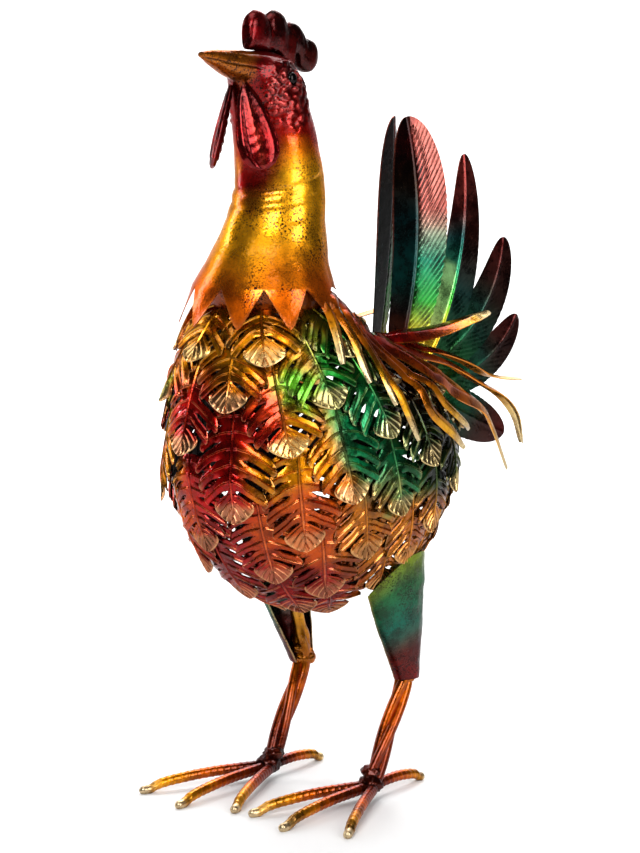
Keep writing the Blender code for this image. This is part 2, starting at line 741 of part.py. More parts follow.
def build_toes():
    """Three front toes and a hind toe on each foot, mitred where their bars meet."""
    inner_mitre = TOE_ANGLES[0] / 2
    outer_mitre = TOE_ANGLES[2] / 2
    mitres = {
        "inner": ((1, inner_mitre),),
        "middle": ((-1, inner_mitre), (1, outer_mitre)),
        "outer": ((-1, outer_mitre),),
        "hind": (),
    }
    for name, angle, start, end in zip(TOE_NAMES, TOE_ANGLES, TOE_STARTS, TOE_ENDS):
        points, faces = toe_piece(angle, start, end, mitres[name])
        add_pair("toe_{}_" + name, points, faces, (0.55, 0.24, 0.06), 0.38)


def build_thighs():
    """The half-cone sheets that cover the tops of the legs, open towards the inside."""
    foot = Vector((STANCE_HALF_WIDTH, THIGH_FOOT_BACK, THIGH_FOOT_HEIGHT))
    rings = []
    for share in (0.0, 0.3, 0.65, 1.0):
        outer = []
        inner = []
        for step in range(THIGH_STEPS + 1):
            angle = THIGH_WRAP * (step / THIGH_STEPS - 0.5)
            round_x, round_y = math.cos(angle), -math.sin(angle)
            for thickness, edge in ((0.0, outer), (SHEET, inner)):
                low = foot + Vector((round_x, round_y, 0)) * (THIGH_FOOT_RADIUS - thickness)
                x = THIGH_TOP_MIDDLE[0] + round_x * (THIGH_TOP_RADII[0] - thickness)
                y = THIGH_TOP_MIDDLE[1] + round_y * (THIGH_TOP_RADII[1] - thickness)
                edge.append(lerp(low, Vector((x, y, body_underside(x, y))), share))
        rings.append(np.array(outer + inner[::-1]))
    points, faces = loft(rings)
    add_pair("thigh_{}", points, faces, (0.10, 0.28, 0.12), 0.35)


def centre_on_ground():
    """Move the whole bird so that the middle of its box stands over the origin."""
    bpy.context.view_layer.update()
    pieces = bpy.context.scene.objects
    reach = [corner[1] for piece in pieces for corner in piece.bound_box]
    middle = (min(reach) + max(reach)) / 2
    for piece in bpy.context.scene.objects:
        for vertex in piece.data.vertices:
            vertex.co.y -= middle


def main():
    """Clear the scene and build every piece."""
    for thing in list(bpy.data.objects):
        bpy.data.objects.remove(thing)
    build_body()
    build_head_and_neck()
    build_comb()
    build_wattles()
    build_tail()
    build_saddle()
    build_shanks()
    build_toes()
    build_thighs()
    centre_on_ground()


main()
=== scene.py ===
"""Dressed garden hen: pressed leaves, toothed neck, puffy comb, strips, fans and twisted legs."""

import logging
import math
from dataclasses import dataclass, field
from enum import Enum
from typing import Sequence

import bmesh
import bpy
import numpy as np
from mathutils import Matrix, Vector, noise


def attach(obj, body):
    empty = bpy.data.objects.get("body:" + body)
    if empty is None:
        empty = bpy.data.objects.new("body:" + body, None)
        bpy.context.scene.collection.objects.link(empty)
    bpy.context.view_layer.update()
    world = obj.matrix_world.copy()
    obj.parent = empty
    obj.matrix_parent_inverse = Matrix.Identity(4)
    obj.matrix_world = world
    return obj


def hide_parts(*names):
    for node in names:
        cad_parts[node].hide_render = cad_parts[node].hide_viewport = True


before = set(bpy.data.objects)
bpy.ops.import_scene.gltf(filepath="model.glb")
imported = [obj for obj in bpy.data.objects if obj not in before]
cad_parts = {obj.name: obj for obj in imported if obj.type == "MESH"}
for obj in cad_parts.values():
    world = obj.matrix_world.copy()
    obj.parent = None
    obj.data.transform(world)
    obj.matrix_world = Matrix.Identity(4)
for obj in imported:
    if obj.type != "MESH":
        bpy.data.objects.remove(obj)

LOG = logging.getLogger("hen")
MM = 0.001
PER_METRE = 1000
HUB_Y = -0.0341
MASK_NAME = "finish"
WELD_PLACES = 6
PRESSED_SHEET = 0.0009

Array = np.ndarray
Number = float | Array
Floats = tuple[float, ...]
Pair = tuple[float, float]
Pairs = tuple[Pair, ...]
Point = tuple[float, float, float]
Colour = Point
Face = tuple[int, ...]
Material = bpy.types.Material
Socket = bpy.types.NodeSocket
Feed = Socket | float | Floats


class Side(Enum):
    """The side of the bird that a piece belongs to."""

    LEFT = 1
    RIGHT = -1

    @property
    def word(self) -> str:
        """Return the side's name as the pieces use it."""
        return self.name.lower()


class Slot(Enum):
    """The finishes' names."""

    LEAF = "leaf_lacquer"
    NECK = "neck_lacquer"
    COMB = "comb_lacquer"
    TAIL = "tail_lacquer"
    SADDLE = "saddle_lacquer"
    THIGH = "thigh_lacquer"
    LEG = "leg_lacquer"


def srgb(red: float, green: float, blue: float) -> Colour:
    """Return the linear colour of an sRGB colour given from 0 to 255.

    Args:
        red: Red channel.
        green: Green channel.
        blue: Blue channel.

    Returns:
        The linear colour.
    """
    channels = []
    for value in (red, green, blue):
        share = value / 255
        channels.append(share / 12.92 if share <= 0.04045 else ((share + 0.055) / 1.055) ** 2.4)
    return tuple(channels)


def lerp(start: Number, end: Number, share: Number) -> Number:
    """Return the blend of two numbers or arrays."""
    return start + (end - start) * share


def smooth(low: float, high: float, value: Number) -> Number:
    """Return a soft step from 0 at low to 1 at high."""
    share = np.clip((np.asarray(value, float) - low) / (high - low), 0, 1)
    return share * share * (3 - 2 * share)


def unit(vector: Array) -> Array:
    """Return a vector, or each row of an array, at length one."""
    return vector / np.maximum(np.linalg.norm(vector, axis=-1, keepdims=True), 1e-12)


def run_along(points: Array) -> Array:
    """Return the distance to each point of a line, measured along it from its start."""
    return np.concatenate([[0], np.cumsum(np.linalg.norm(np.diff(points, axis=0), axis=1))])


def soft_ridge(offset: Array, width: float) -> Array:
    """Return 1 where an offset is 0, falling away smoothly over a width."""
    return np.exp(-((offset / width) ** 2))


# ---- mesh work


@dataclass
class Shape:
    """A mesh in the making: its points in metres from the feet, its faces and its masks.

    The masks of a point are tip, ridge, edge and along, each from 0 to 1. backs are the faces on a
    sheet's inside.
    """

    points: Array = field(default_factory=lambda: np.zeros((0, 3)))
    faces: list[Face] = field(default_factory=list)
    masks: Array = field(default_factory=lambda: np.zeros((0, 4)))
    backs: list[Face] = field(default_factory=list)

    @classmethod
    def grid(cls, points: Array, masks: Array, wrap: bool = False, caps: bool = False) -> "Shape":
        """Return the shape of a grid of points.

        Args:
            points: Array of rows, columns and coordinates.
            masks: Array of rows, columns and the four masks.
            wrap: Whether the last column joins the first one.
            caps: Whether the first and the last row are closed by a fan.

        Returns:
            The shape.
        """
        rows, columns = points.shape[:2]
        faces: list[Face] = []
        for row in range(rows - 1):
            for column in range(columns if wrap else columns - 1):
                after = (column + 1) % columns
                low = row * columns
                high = low + columns
                faces.append((low + column, low + after, high + after, high + column))
        flat = points.reshape(-1, 3)
        marks = masks.reshape(-1, 4)
        if caps:
            size = len(flat)
            flat = np.vstack([flat, points[0].mean(0), points[-1].mean(0)])
            marks = np.vstack([marks, masks[0].mean(0), masks[-1].mean(0)])
            last = (rows - 1) * columns
            for column in range(columns):
                after = (column + 1) % columns
                faces.append((after, column, size))
                faces.append((last + column, last + after, size + 1))
        return cls(flat, faces, marks)

    def join(self, other: "Shape") -> None:
        """Add another shape to this one.

        Args:
            other: The shape to add.
        """
        base = len(self.points)
        self.points = np.vstack([self.points, other.points])
        self.masks = np.vstack([self.masks, other.masks])
        self.faces += [tuple(base + corner for corner in face) for face in other.faces]
        self.backs += [tuple(base + corner for corner in face) for face in other.backs]

    def welded(self) -> "Shape":
        """Return the shape with equal points joined and collapsed faces left out.

        Returns:
            The joined shape, without its backs.
        """
        _, first, index = np.unique(
            np.round(self.points, WELD_PLACES), axis=0, return_index=True, return_inverse=True
        )
        index = index.reshape(-1)
        faces = []
        for face in self.faces:
            corners = [int(index[corner]) for corner in face]
            kept = [corner for place, corner in enumerate(corners) if corner != corners[place - 1]]
            if len(set(kept)) == len(kept) > 2:
                faces.append(tuple(kept))
        return Shape(self.points[first], faces, self.masks[first])

    def normals(self) -> Array:
        """Return the direction of the surface at each point.

        Returns:
            Vectors of length one.
        """
        total = np.zeros_like(self.points)
        corners = np.array([[*face[:3], face[3] if len(face) > 3 else face[2]] for face in self.faces])
        first, second, third, fourth = (self.points[corners[:, place]] for place in range(4))
        normal = np.cross(third - first, fourth - second)
        triangle = corners[:, 2] == corners[:, 3]
        normal[triangle] = np.cross(second[triangle] - first[triangle], third[triangle] - first[triangle])
        for place in range(4):
            np.add.at(total, corners[:, place], normal)
        return unit(total)

    def thickened(self, thickness: float) -> "Shape":
        """Return a closed sheet that has this shape as its outside.

        Args:
            thickness: The sheet's thickness.

        Returns:
            The closed sheet.
        """
        size = len(self.points)
        inner = self.points - self.normals() * thickness
        faces = list(self.faces)
        backs = [tuple(size + corner for corner in face[::-1]) for face in self.faces]
        seen = set()
        for face in self.faces:
            seen.update(zip(face, face[1:] + face[:1]))
        for start, end in seen:
            if (end, start) not in seen:
                faces.append((end, start, size + start, size + end))
        marks = self.masks.copy()
        marks[:, 1] = 0
        return Shape(np.vstack([self.points, inner]), faces, np.vstack([self.masks, marks]), backs)

    def facing_out(self, place: int) -> "Shape":
        """Return the shape with its faces turned so that a point on the bird's left looks outwards."""
        if self.normals()[place, 0] >= 0:
            return self
        return Shape(self.points, [face[::-1] for face in self.faces], self.masks, self.backs)

    def mirrored(self) -> "Shape":
        """Return the shape reflected to the other side of the bird."""
        faces, backs = ([face[::-1] for face in part] for part in (self.faces, self.backs))
        return Shape(self.points * (-1, 1, 1), faces, self.masks.copy(), backs)

    def on_side(self, side: Side) -> "Shape":
        """Return the shape as it is on a side of the bird."""
        return self if side is Side.LEFT else self.mirrored()


def add_piece(
    name: str,
    shape: Shape,
    material: Material,
    node: str,
    sharp: float = 38.0,
    lining: Material | None = None,
) -> bpy.types.Object:
    """Put a finished piece into the scene in the place of a CAD node.

    Args:
        name: The piece's name.
        shape: The piece's mesh, measured from the feet.
        material: The piece's finish.
        node: The CAD node that the piece stands for.
        sharp: The angle in degrees from which an edge stays sharp.
        lining: The finish of a sheet's back, if it has its own.

    Returns:
        The new object.
    """
    mesh = bpy.data.meshes.new(name)
    mesh.from_pydata((shape.points + (0, HUB_Y, 0)).tolist(), [], shape.faces + shape.backs)
    marks = mesh.color_attributes.new(name=MASK_NAME, type="FLOAT_COLOR", domain="POINT")
    marks.data.foreach_set("color", np.clip(shape.masks, 0, 1).astype(np.float32).ravel())
    work = bmesh.new()
    work.from_mesh(mesh)
    bmesh.ops.recalc_face_normals(work, faces=work.faces[:])
    work.to_mesh(mesh)
    work.free()
    mesh.shade_smooth()
    mesh.set_sharp_from_angle(angle=math.radians(sharp))
    mesh.materials.append(material)
    if lining:
        mesh.materials.append(lining)
        layers = np.repeat([0, 1], [len(shape.faces), len(shape.backs)]).astype(np.int32)
        mesh.polygons.foreach_set("material_index", layers)
    piece = bpy.data.objects.new(name, mesh)
    bpy.context.scene.collection.objects.link(piece)
    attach(piece, "root")
    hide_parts(node)
    LOG.info("%s: %d faces", name, len(mesh.polygons))
    return piece


def add_pair(name: str, shape: Shape, material: Material, node: str, sharp: float) -> None:
    """Add a left piece and its mirror image. {} in the two names stands for the side."""
    for side in Side:
        word = side.word
        add_piece(name.format(word), shape.on_side(side), material, node.format(word), sharp)


# ---- finishes


class Graph:
    """Adds and links the nodes of one material."""

    def __init__(self, name: str) -> None:
        """Start a material with its shader.

        Args:
            name: The material's name.
        """
        self.material = bpy.data.materials.new(name)
        self.material.use_nodes = True
        self.tree = self.material.node_tree
        self.shader = self.tree.nodes["Principled BSDF"]

    def feed(self, socket: Socket, value: Feed) -> None:
        """Link an output to a socket, or set the socket's own value.

        Args:
            socket: The socket to feed.
            value: An output, a number or a colour.
        """
        if isinstance(value, Socket):
            self.tree.links.new(value, socket)
        elif isinstance(value, tuple) and len(value) == 3 and socket.type == "RGBA":
            socket.default_value = (*value, 1.0)
        else:
            socket.default_value = value

    def node(self, kind: str, inputs: dict, output: int | str = 0, **settings) -> Socket:
        """Add a node.

        Args:
            kind: The node's type without its ShaderNode prefix.
            inputs: Values or outputs for its sockets.
            output: The output to return.
            settings: The node's options.

        Returns:
            One of its outputs.
        """
        made = self.tree.nodes.new("ShaderNode" + kind)
        for key, value in settings.items():
            setattr(made, key, value)
        for key, value in inputs.items():
            self.feed(made.inputs[key], value)
        return made.outputs[output]

    def mix(self, share: Feed, low: Feed, high: Feed, blend: str = "MIX") -> Socket:
        """Return the mix of two colours."""
        return self.node(
            "Mix", {0: share, 6: low, 7: high}, 2, data_type="RGBA", blend_type=blend, clamp_factor=True
        )

    def math(self, operation: str, first: Feed, second: Feed = 0.0, clamp: bool = False) -> Socket:
        """Return the result of a sum."""
        return self.node("Math", {0: first, 1: second}, operation=operation, use_clamp=clamp)

    def step(self, value: Feed, low: float, high: float, start: float = 0.0, end: float = 1.0) -> Socket:
        """Return a soft step of a value between two levels."""
        return self.node(
            "MapRange",
            {"Value": value, "From Min": low, "From Max": high, "To Min": start, "To Max": end},
            interpolation_type="SMOOTHSTEP",
        )

    def noise(
        self, scale: float, detail: float, vector: Socket, roughness: float = 0.55, output: str = "Fac"
    ) -> Socket:
        """Return a noise texture's output."""
        return self.node(
            "TexNoise",
            {"Vector": vector, "Scale": scale, "Detail": detail, "Roughness": roughness},
            output,
        )


@dataclass(frozen=True)
class Zone:
    """A patch of sprayed colour, the same on both sides of the bird unless both is false."""

    middle: Point
    reach: float
    colour: Colour
    softness: float = 0.35
    both: bool = True


@dataclass(frozen=True)
class Lacquer:
    """A candy lacquer over bright metal.

    base is the colour under the zones, bands are colours along the piece, tip is the colour that
    the tip mask brings: cream at tips, and painted shade in the recesses of the neck, comb and
    wattles. The ridge colour is a painted highlight on the ridges, rim a painted highlight along
    the edges, and the dark colour serves the spatter and the painted shade with grime in hollows.
    tip_fade has two heights and the share of the tip's colour that is left below them.
    """

    name: str
    base: Colour = (0.5, 0.2, 0.05)
    bands: tuple[tuple[float, Colour], ...] = ()
    zones: tuple[Zone, ...] = ()
    tip: Colour = srgb(236, 214, 176)
    tip_strength: float = 0.0
    tip_fade: Point = (0.0, 0.001, 1.0)
    # The ridge colour and its strength paint a highlight on the ridges.
    foil: Colour = srgb(255, 226, 150)
    ridge_highlight_strength: float = 0.35
    # rim and its strength paint a highlight along the edges.
    rim: Colour = srgb(250, 210, 140)
    rim_strength: float = 0.3
    # The dark colour and its strength: spatter, and painted shade with grime in the hollows.
    wash: Colour = srgb(26, 9, 5)
    dirt_and_shade_strength: float = 0.5
    # Painted shade in the valleys that the along mask marks, on pieces without bands.
    valley_shade_strength: float = 0.9
    speckle: float = 0.5
    fine_speckle: float = 0.0
    mottle: float = 0.65
    drift: float = 0.09
    roughness: float = 0.25
    metallic: float = 0.94
    coat: float = 0.3
    grain: float = 0.25
    grain_scale: float = 420.0

    def material(self) -> Material:
        """Build the finish's material.

        Returns:
            The material.
        """
        graph = Graph(self.name)
        place = graph.node("TexCoord", {}, "Object")
        marks = graph.node("Attribute", {}, "Color", attribute_name=MASK_NAME)
        split = graph.node("SeparateColor", {"Color": marks}, "Red").node
        tip, ridge, edge = (split.outputs[channel] for channel in ("Red", "Green", "Blue"))
        along = graph.node("Attribute", {}, "Alpha", attribute_name=MASK_NAME)
        drift = graph.noise(9.0, 3.0, place)
        colour = self.spray(graph, place, along, drift)
        cloud = graph.noise(55.0, 5.0, place, 0.65)
        shade = graph.step(cloud, 0.38, 0.66, self.mottle, 0.0)
        dark = graph.mix(1.0, colour, (0.42, 0.34, 0.34), "MULTIPLY")
        colour = graph.mix(shade, colour, dark)
        if self.tip_strength:
            ragged = graph.math("MULTIPLY_ADD", graph.noise(140.0, 4.0, place), 0.5)
            ragged.node.inputs[2].default_value = -0.25
            share = graph.step(graph.math("ADD", tip, ragged), 0.25, 0.85, 0.0, self.tip_strength)
            height = graph.node("SeparateXYZ", {"Vector": place}, "Z")
            share = graph.math("MULTIPLY", share, graph.step(height, *self.tip_fade, 1.0))
            pale = graph.mix(0.72, graph.mix(1.0, colour, colour, "SCREEN"), self.tip)
            colour = graph.mix(share, colour, pale)
        # Painted shade with grime: darker where the ridge mask is low, in hollows and between barbs, and on
        # pieces without bands also in the valleys of the along mask.
        hollow = graph.math("SUBTRACT", graph.step(cloud, 0.30, 0.62, 1.0, 0.35), ridge, True)
        shade_and_grime = graph.math("MULTIPLY", hollow, self.dirt_and_shade_strength)
        if not self.bands:
            shade_and_grime = graph.math("MAXIMUM", shade_and_grime, graph.math("MULTIPLY", along, self.valley_shade_strength))
        colour = graph.mix(shade_and_grime, colour, self.wash)
        # Painted highlight: where the ridge mask is high, the colour is lightened towards the ridge colour.
        ridge_highlight_share = graph.step(graph.math("MULTIPLY", ridge, graph.step(cloud, 0.3, 0.6, 0.55, 1.2)), 0.25, 0.95)
        bright = graph.mix(0.25, graph.mix(1.0, colour, colour, "SCREEN"), self.foil)
        colour = graph.mix(graph.math("MULTIPLY", ridge_highlight_share, self.ridge_highlight_strength), colour, bright)
        # Painted highlight along the edges.
        colour = graph.mix(graph.math("MULTIPLY", edge, self.rim_strength), colour, self.rim)
        colour, spots = self.spatter(graph, place, colour)
        graph.feed(graph.shader.inputs["Base Color"], colour)
        graph.feed(graph.shader.inputs["Specular Tint"], graph.mix(0.35, colour, (1.0, 1.0, 1.0)))
        self.finish(graph, place, cloud, spots)
        return graph.material

    def spray(self, graph: Graph, place: Socket, along: Socket, drift: Socket) -> Feed:
        """Return the sprayed colour before its wear.

        Args:
            graph: The material's nodes.
            place: The point's place.
            along: The mask that runs along the piece.
            drift: A slow noise.

        Returns:
            The colour.
        """
        colour = self.base
        if self.bands:
            shifted = graph.math("ADD", along, graph.step(drift, 0.2, 0.8, -self.drift, self.drift))
            colour = graph.node("ValToRGB", {"Fac": shifted}, "Color")
            stops = colour.node.color_ramp.elements
            for share, tint in self.bands[1:-1]:
                stops.new(share).color = (*tint, 1.0)
            ordered = sorted(stops, key=lambda stop: stop.position)
            for stop, (share, tint) in zip(ordered, self.bands):
                stop.position = share
                stop.color = (*tint, 1.0)
        if not self.zones:
            return colour
        parts = graph.node("SeparateXYZ", {"Vector": place}, "X").node
        across = graph.math("ABSOLUTE", parts.outputs["X"])
        folded = graph.node("CombineXYZ", {"X": across, "Y": parts.outputs["Y"], "Z": parts.outputs["Z"]})
        wander = graph.noise(16.0, 4.0, place, 0.6, "Color")
        centred = graph.node("VectorMath", {0: wander, 1: (0.5, 0.5, 0.5)}, operation="SUBTRACT")
        moved = graph.node("VectorMath", {0: centred, 1: (0.075, 0.075, 0.075)}, operation="MULTIPLY")
        folded = graph.node("VectorMath", {0: folded, 1: moved}, operation="ADD")
        plain = graph.node("VectorMath", {0: place, 1: moved}, operation="ADD")
        for zone in self.zones:
            middle = (zone.middle[0], zone.middle[1] + HUB_Y, zone.middle[2])
            spot = folded if zone.both else plain
            away = graph.node("VectorMath", {0: spot, 1: middle}, "Value", operation="DISTANCE")
            near, far = zone.reach * (1 - zone.softness), zone.reach * (1 + zone.softness)
            colour = graph.mix(graph.step(away, near, far, 1.0, 0.0), colour, zone.colour)
        return colour

    def spatter(self, graph: Graph, place: Socket, colour: Socket) -> tuple[Socket, Socket]:
        """Add the dark spatter of the finish.

        Args:
            graph: The material's nodes.
            place: The point's place.
            colour: The colour below the spatter.

        Returns:
            The colour with the spatter, and the spatter's mask.
        """
        cells = graph.node("TexVoronoi", {"Vector": place, "Scale": 330.0, "Randomness": 1.0}, "Distance")
        level = graph.node("SeparateColor", {"Color": cells.node.outputs["Color"]}, "Red")
        size = graph.step(level, 0.45, 1.0, 0.0, 0.34)
        dots = graph.step(graph.math("SUBTRACT", size, cells), 0.0, 0.10)
        fine = graph.step(graph.noise(900.0, 2.0, place), 0.60, 0.70)
        crowd = graph.step(graph.noise(26.0, 3.0, place), 0.42, 0.62, 0.25, 1.0)
        spots = graph.math("MAXIMUM", dots, graph.math("MULTIPLY", fine, 0.6))
        spots = graph.math("MULTIPLY", spots, graph.math("MULTIPLY", crowd, self.speckle))
        if self.fine_speckle:
            dust = graph.step(graph.noise(620.0, 3.0, place, 0.7), 0.51, 0.59, 0.0, self.fine_speckle)
            spots = graph.math("MAXIMUM", spots, graph.math("MULTIPLY", dust, crowd))
        return graph.mix(spots, colour, self.wash), spots

    def finish(self, graph: Graph, place: Socket, cloud: Socket, spots: Socket) -> None:
        """Set the gloss, the coat and the fine surface.

        Args:
            graph: The material's nodes.
            place: The point's place.
            cloud: The mottling noise.
            spots: The spatter's mask.
        """
        shader = graph.shader
        gloss = graph.step(cloud, 0.3, 0.7, self.roughness - 0.07, self.roughness + 0.10)
        gloss = graph.math("ADD", gloss, graph.math("MULTIPLY", spots, 0.25))
        graph.feed(shader.inputs["Roughness"], gloss)
        shader.inputs["Metallic"].default_value = self.metallic
        shader.inputs["Coat Weight"].default_value = self.coat
        shader.inputs["Coat Roughness"].default_value = 0.07
        shader.inputs["Coat IOR"].default_value = 1.5
        grain = graph.noise(self.grain_scale, 4.0, place)
        dents = graph.noise(95.0, 2.0, place)
        height = graph.math("MULTIPLY_ADD", dents, 2.2)
        graph.feed(height.node.inputs[2], grain)
        bump = graph.node("Bump", {"Strength": self.grain, "Distance": 0.0006, "Height": height})
        graph.feed(shader.inputs["Normal"], bump)
        graph.feed(shader.inputs["Coat Normal"], bump)


RED = srgb(204, 7, 8)
DEEP_RED = srgb(96, 6, 10)
GOLD = srgb(252, 158, 10)
GREEN = srgb(12, 136, 40)
LIME = srgb(104, 190, 44)
TEAL = srgb(0, 146, 84)
DARK_GREEN = srgb(6, 62, 14)
CREAM = srgb(240, 216, 178)
BROWN = srgb(84, 34, 12)


# ---- the egg that the leaves are laid on


@dataclass(frozen=True)
class BodyForm:
    """The body's egg, with the sizes that the CAD gives it, measured from the feet."""

    middle: Point = (0.0, -0.010, 0.262)
    half_width: float = 0.091
    length: float = 0.131
    drop: float = 0.114
    rise: float = 0.121
    breast_rise: float = 0.52
    fullness: float = 2.35
    belly_fullness: float = 1.7
    belly_tuck: float = 0.12
    pinch: float = 1.5
    pinch_rises: Pair = (0.50, 0.95)
    pinch_runs: Pair = (-0.45, 0.10)
    neck_lean: float = math.radians(21)
    belly_lean: float = math.radians(8)

    def scale(self, offsets: Array) -> Array:
        """Return how far out offsets from the middle lie, 1 on the surface.

        Args:
            offsets: Offsets from the egg's middle.

        Returns:
            Their shares of the way to the surface.
        """
        x, y, z = offsets[..., 0], offsets[..., 1], offsets[..., 2]
        rise = np.maximum(self.rise * (1 - self.breast_rise * y / self.length), 0.2 * self.rise)
        level = np.where(z > 0, z / rise, z / self.drop)
        breast = self.length * (1 + self.belly_tuck * np.minimum(z, 0) / self.drop)
        along = np.where(y < 0, y / breast, y / self.length)
        upright = np.where(z > 0, self.fullness, self.belly_fullness)
        reach = np.maximum(np.linalg.norm(offsets, axis=-1), MM * 0.001)
        pinched = self.pinch * smooth(*self.pinch_rises, z / reach)
        narrowed = 1 + pinched * smooth(*self.pinch_runs, y / reach)
        total = narrowed * np.abs(x / self.half_width) ** self.fullness + np.abs(along) ** self.fullness
        return (total + np.abs(level) ** upright) ** (1 / self.fullness)

    def normal(self, points: Array) -> Array:
        """Return the outward direction of the egg at points near it.

        Args:
            points: The points.

        Returns:
            Vectors of length one.
        """
        offsets = points - np.array(self.middle)
        slope = []
        for axis in range(3):
            step = np.zeros(3)
            step[axis] = MM
            slope.append(self.scale(offsets + step) - self.scale(offsets - step))
        return unit(np.stack(slope, axis=-1))

    def project(self, points: Array) -> Array:
        """Return points drawn on to the egg's surface along lines from its middle.

        Args:
            points: The points.

        Returns:
            The points on the surface.
        """
        offsets = points - np.array(self.middle)
        for _ in range(5):
            offsets = offsets / self.scale(offsets)[..., None]
        return offsets + np.array(self.middle)

    def surface(self, turn: float, fall: float) -> Array:
        """Return the surface point at a turn round the leaning axis and a fall down from it.

        Args:
            turn: The turn from straight ahead, towards the left side.
            fall: The fall from the neck's end of the axis.

        Returns:
            The point.
        """
        lean = lerp(self.belly_lean, self.neck_lean, max(0.0, math.cos(fall)))
        up = np.array([0, -math.sin(lean), math.cos(lean)])
        forward = np.array([0, -math.cos(lean), -math.sin(lean)])
        out = math.cos(turn) * forward + math.sin(turn) * np.array([1.0, 0, 0])
        direction = math.cos(fall) * up + math.sin(fall) * out
        return self.project(np.array(self.middle) + direction * self.length)

    def turns(self, places: Array, count: int) -> Array:
        """Return the turns of places that are spaced evenly round the widest ring.

        Args:
            places: Places from 0 to count.
            count: How many places make the whole ring.

        Returns:
            The turns in radians.
        """
        fine = np.linspace(0, 2 * math.pi, 181)
        walk = np.array([self.surface(turn, math.pi / 2) for turn in fine])
        run = run_along(walk)
        return np.interp(np.mod(places, count) / count * run[-1], run, fine)

    def height(self, x: float, y: float, side: int) -> float:
        """Return the height of the top (side 1) or the underside (side -1) over a point.

        Args:
            x: The point's place across the bird.
            y: Its place along the bird.
            side: 1 or -1.

        Returns:
            The height over the ground.
        """
        low, high = 0.0, 2 * self.rise
        for _ in range(40):
            middle = (low + high) / 2
            if self.scale(np.array([x, y - self.middle[1], side * middle])) > 1:
                high = middle
            else:
                low = middle
        return self.middle[2] + side * high

    def clear(self, points: Array, margin: Number) -> Array:
        """Return points pushed out from the middle until they clear the surface by a margin.

        Args:
            points: The points.
            margin: How far outside the surface they have to be.

        Returns:
            The points that clear it.
        """
        offsets = points - np.array(self.middle)
        reach = np.linalg.norm(offsets, axis=-1)
        wanted = reach / self.scale(offsets) + margin
        return np.array(self.middle) + unit(offsets) * np.maximum(wanted, reach)[..., None]


FORM = BodyForm()
LEAF_LIFT = 0.0045
RIB_HEIGHT = 0.0016
LEAF_SHEET = 0.0012
CLEARANCE = 0.0012
OVER_LEAVES = LEAF_LIFT + RIB_HEIGHT + LEAF_SHEET + CLEARANCE


# ---- leaves


@dataclass(frozen=True)
class LobeLine:
    """A line from the leaf's midrib to its edge, between two lobes. Lengths are in millimetres.

    start is its height over the tip at the midrib, slope and curl say how it falls outwards, below
    and above are the extra slopes of the lower and upper lobe, and slot is where the gap begins.
    """

    start: float
    slope: float
    curl: float
    slot: float = 8.0
    gap: float = 3.6
    below: float = 0.0
    above: float = 0.0

    def height(self, x: Array) -> Array:
        """Return the line's height over the tip at distances from the midrib."""
        return self.start - self.slope * x - self.curl * x * x

    def opening(self, x: Array, reach: float) -> Array:
        """Return half the gap's width at distances from the midrib."""
        share = np.clip((x - self.slot) / (reach - self.slot), 0, 1)
        return self.gap / 2 * np.sqrt(np.clip(share / 0.16, 0, 1)) * (1 - 0.55 * share**1.5)

    def lower_side(self, x: Array, reach: float) -> Array:
        """Return the edge of the lobe that lies below the line."""
        return self.height(x) - self.opening(x, reach) - self.below * np.maximum(x - self.slot, 0)

    def upper_side(self, x: Array, reach: float) -> Array:
        """Return the edge of the lobe that lies above the line."""
        return self.height(x) + self.opening(x, reach) + self.above * np.maximum(x - self.slot, 0)


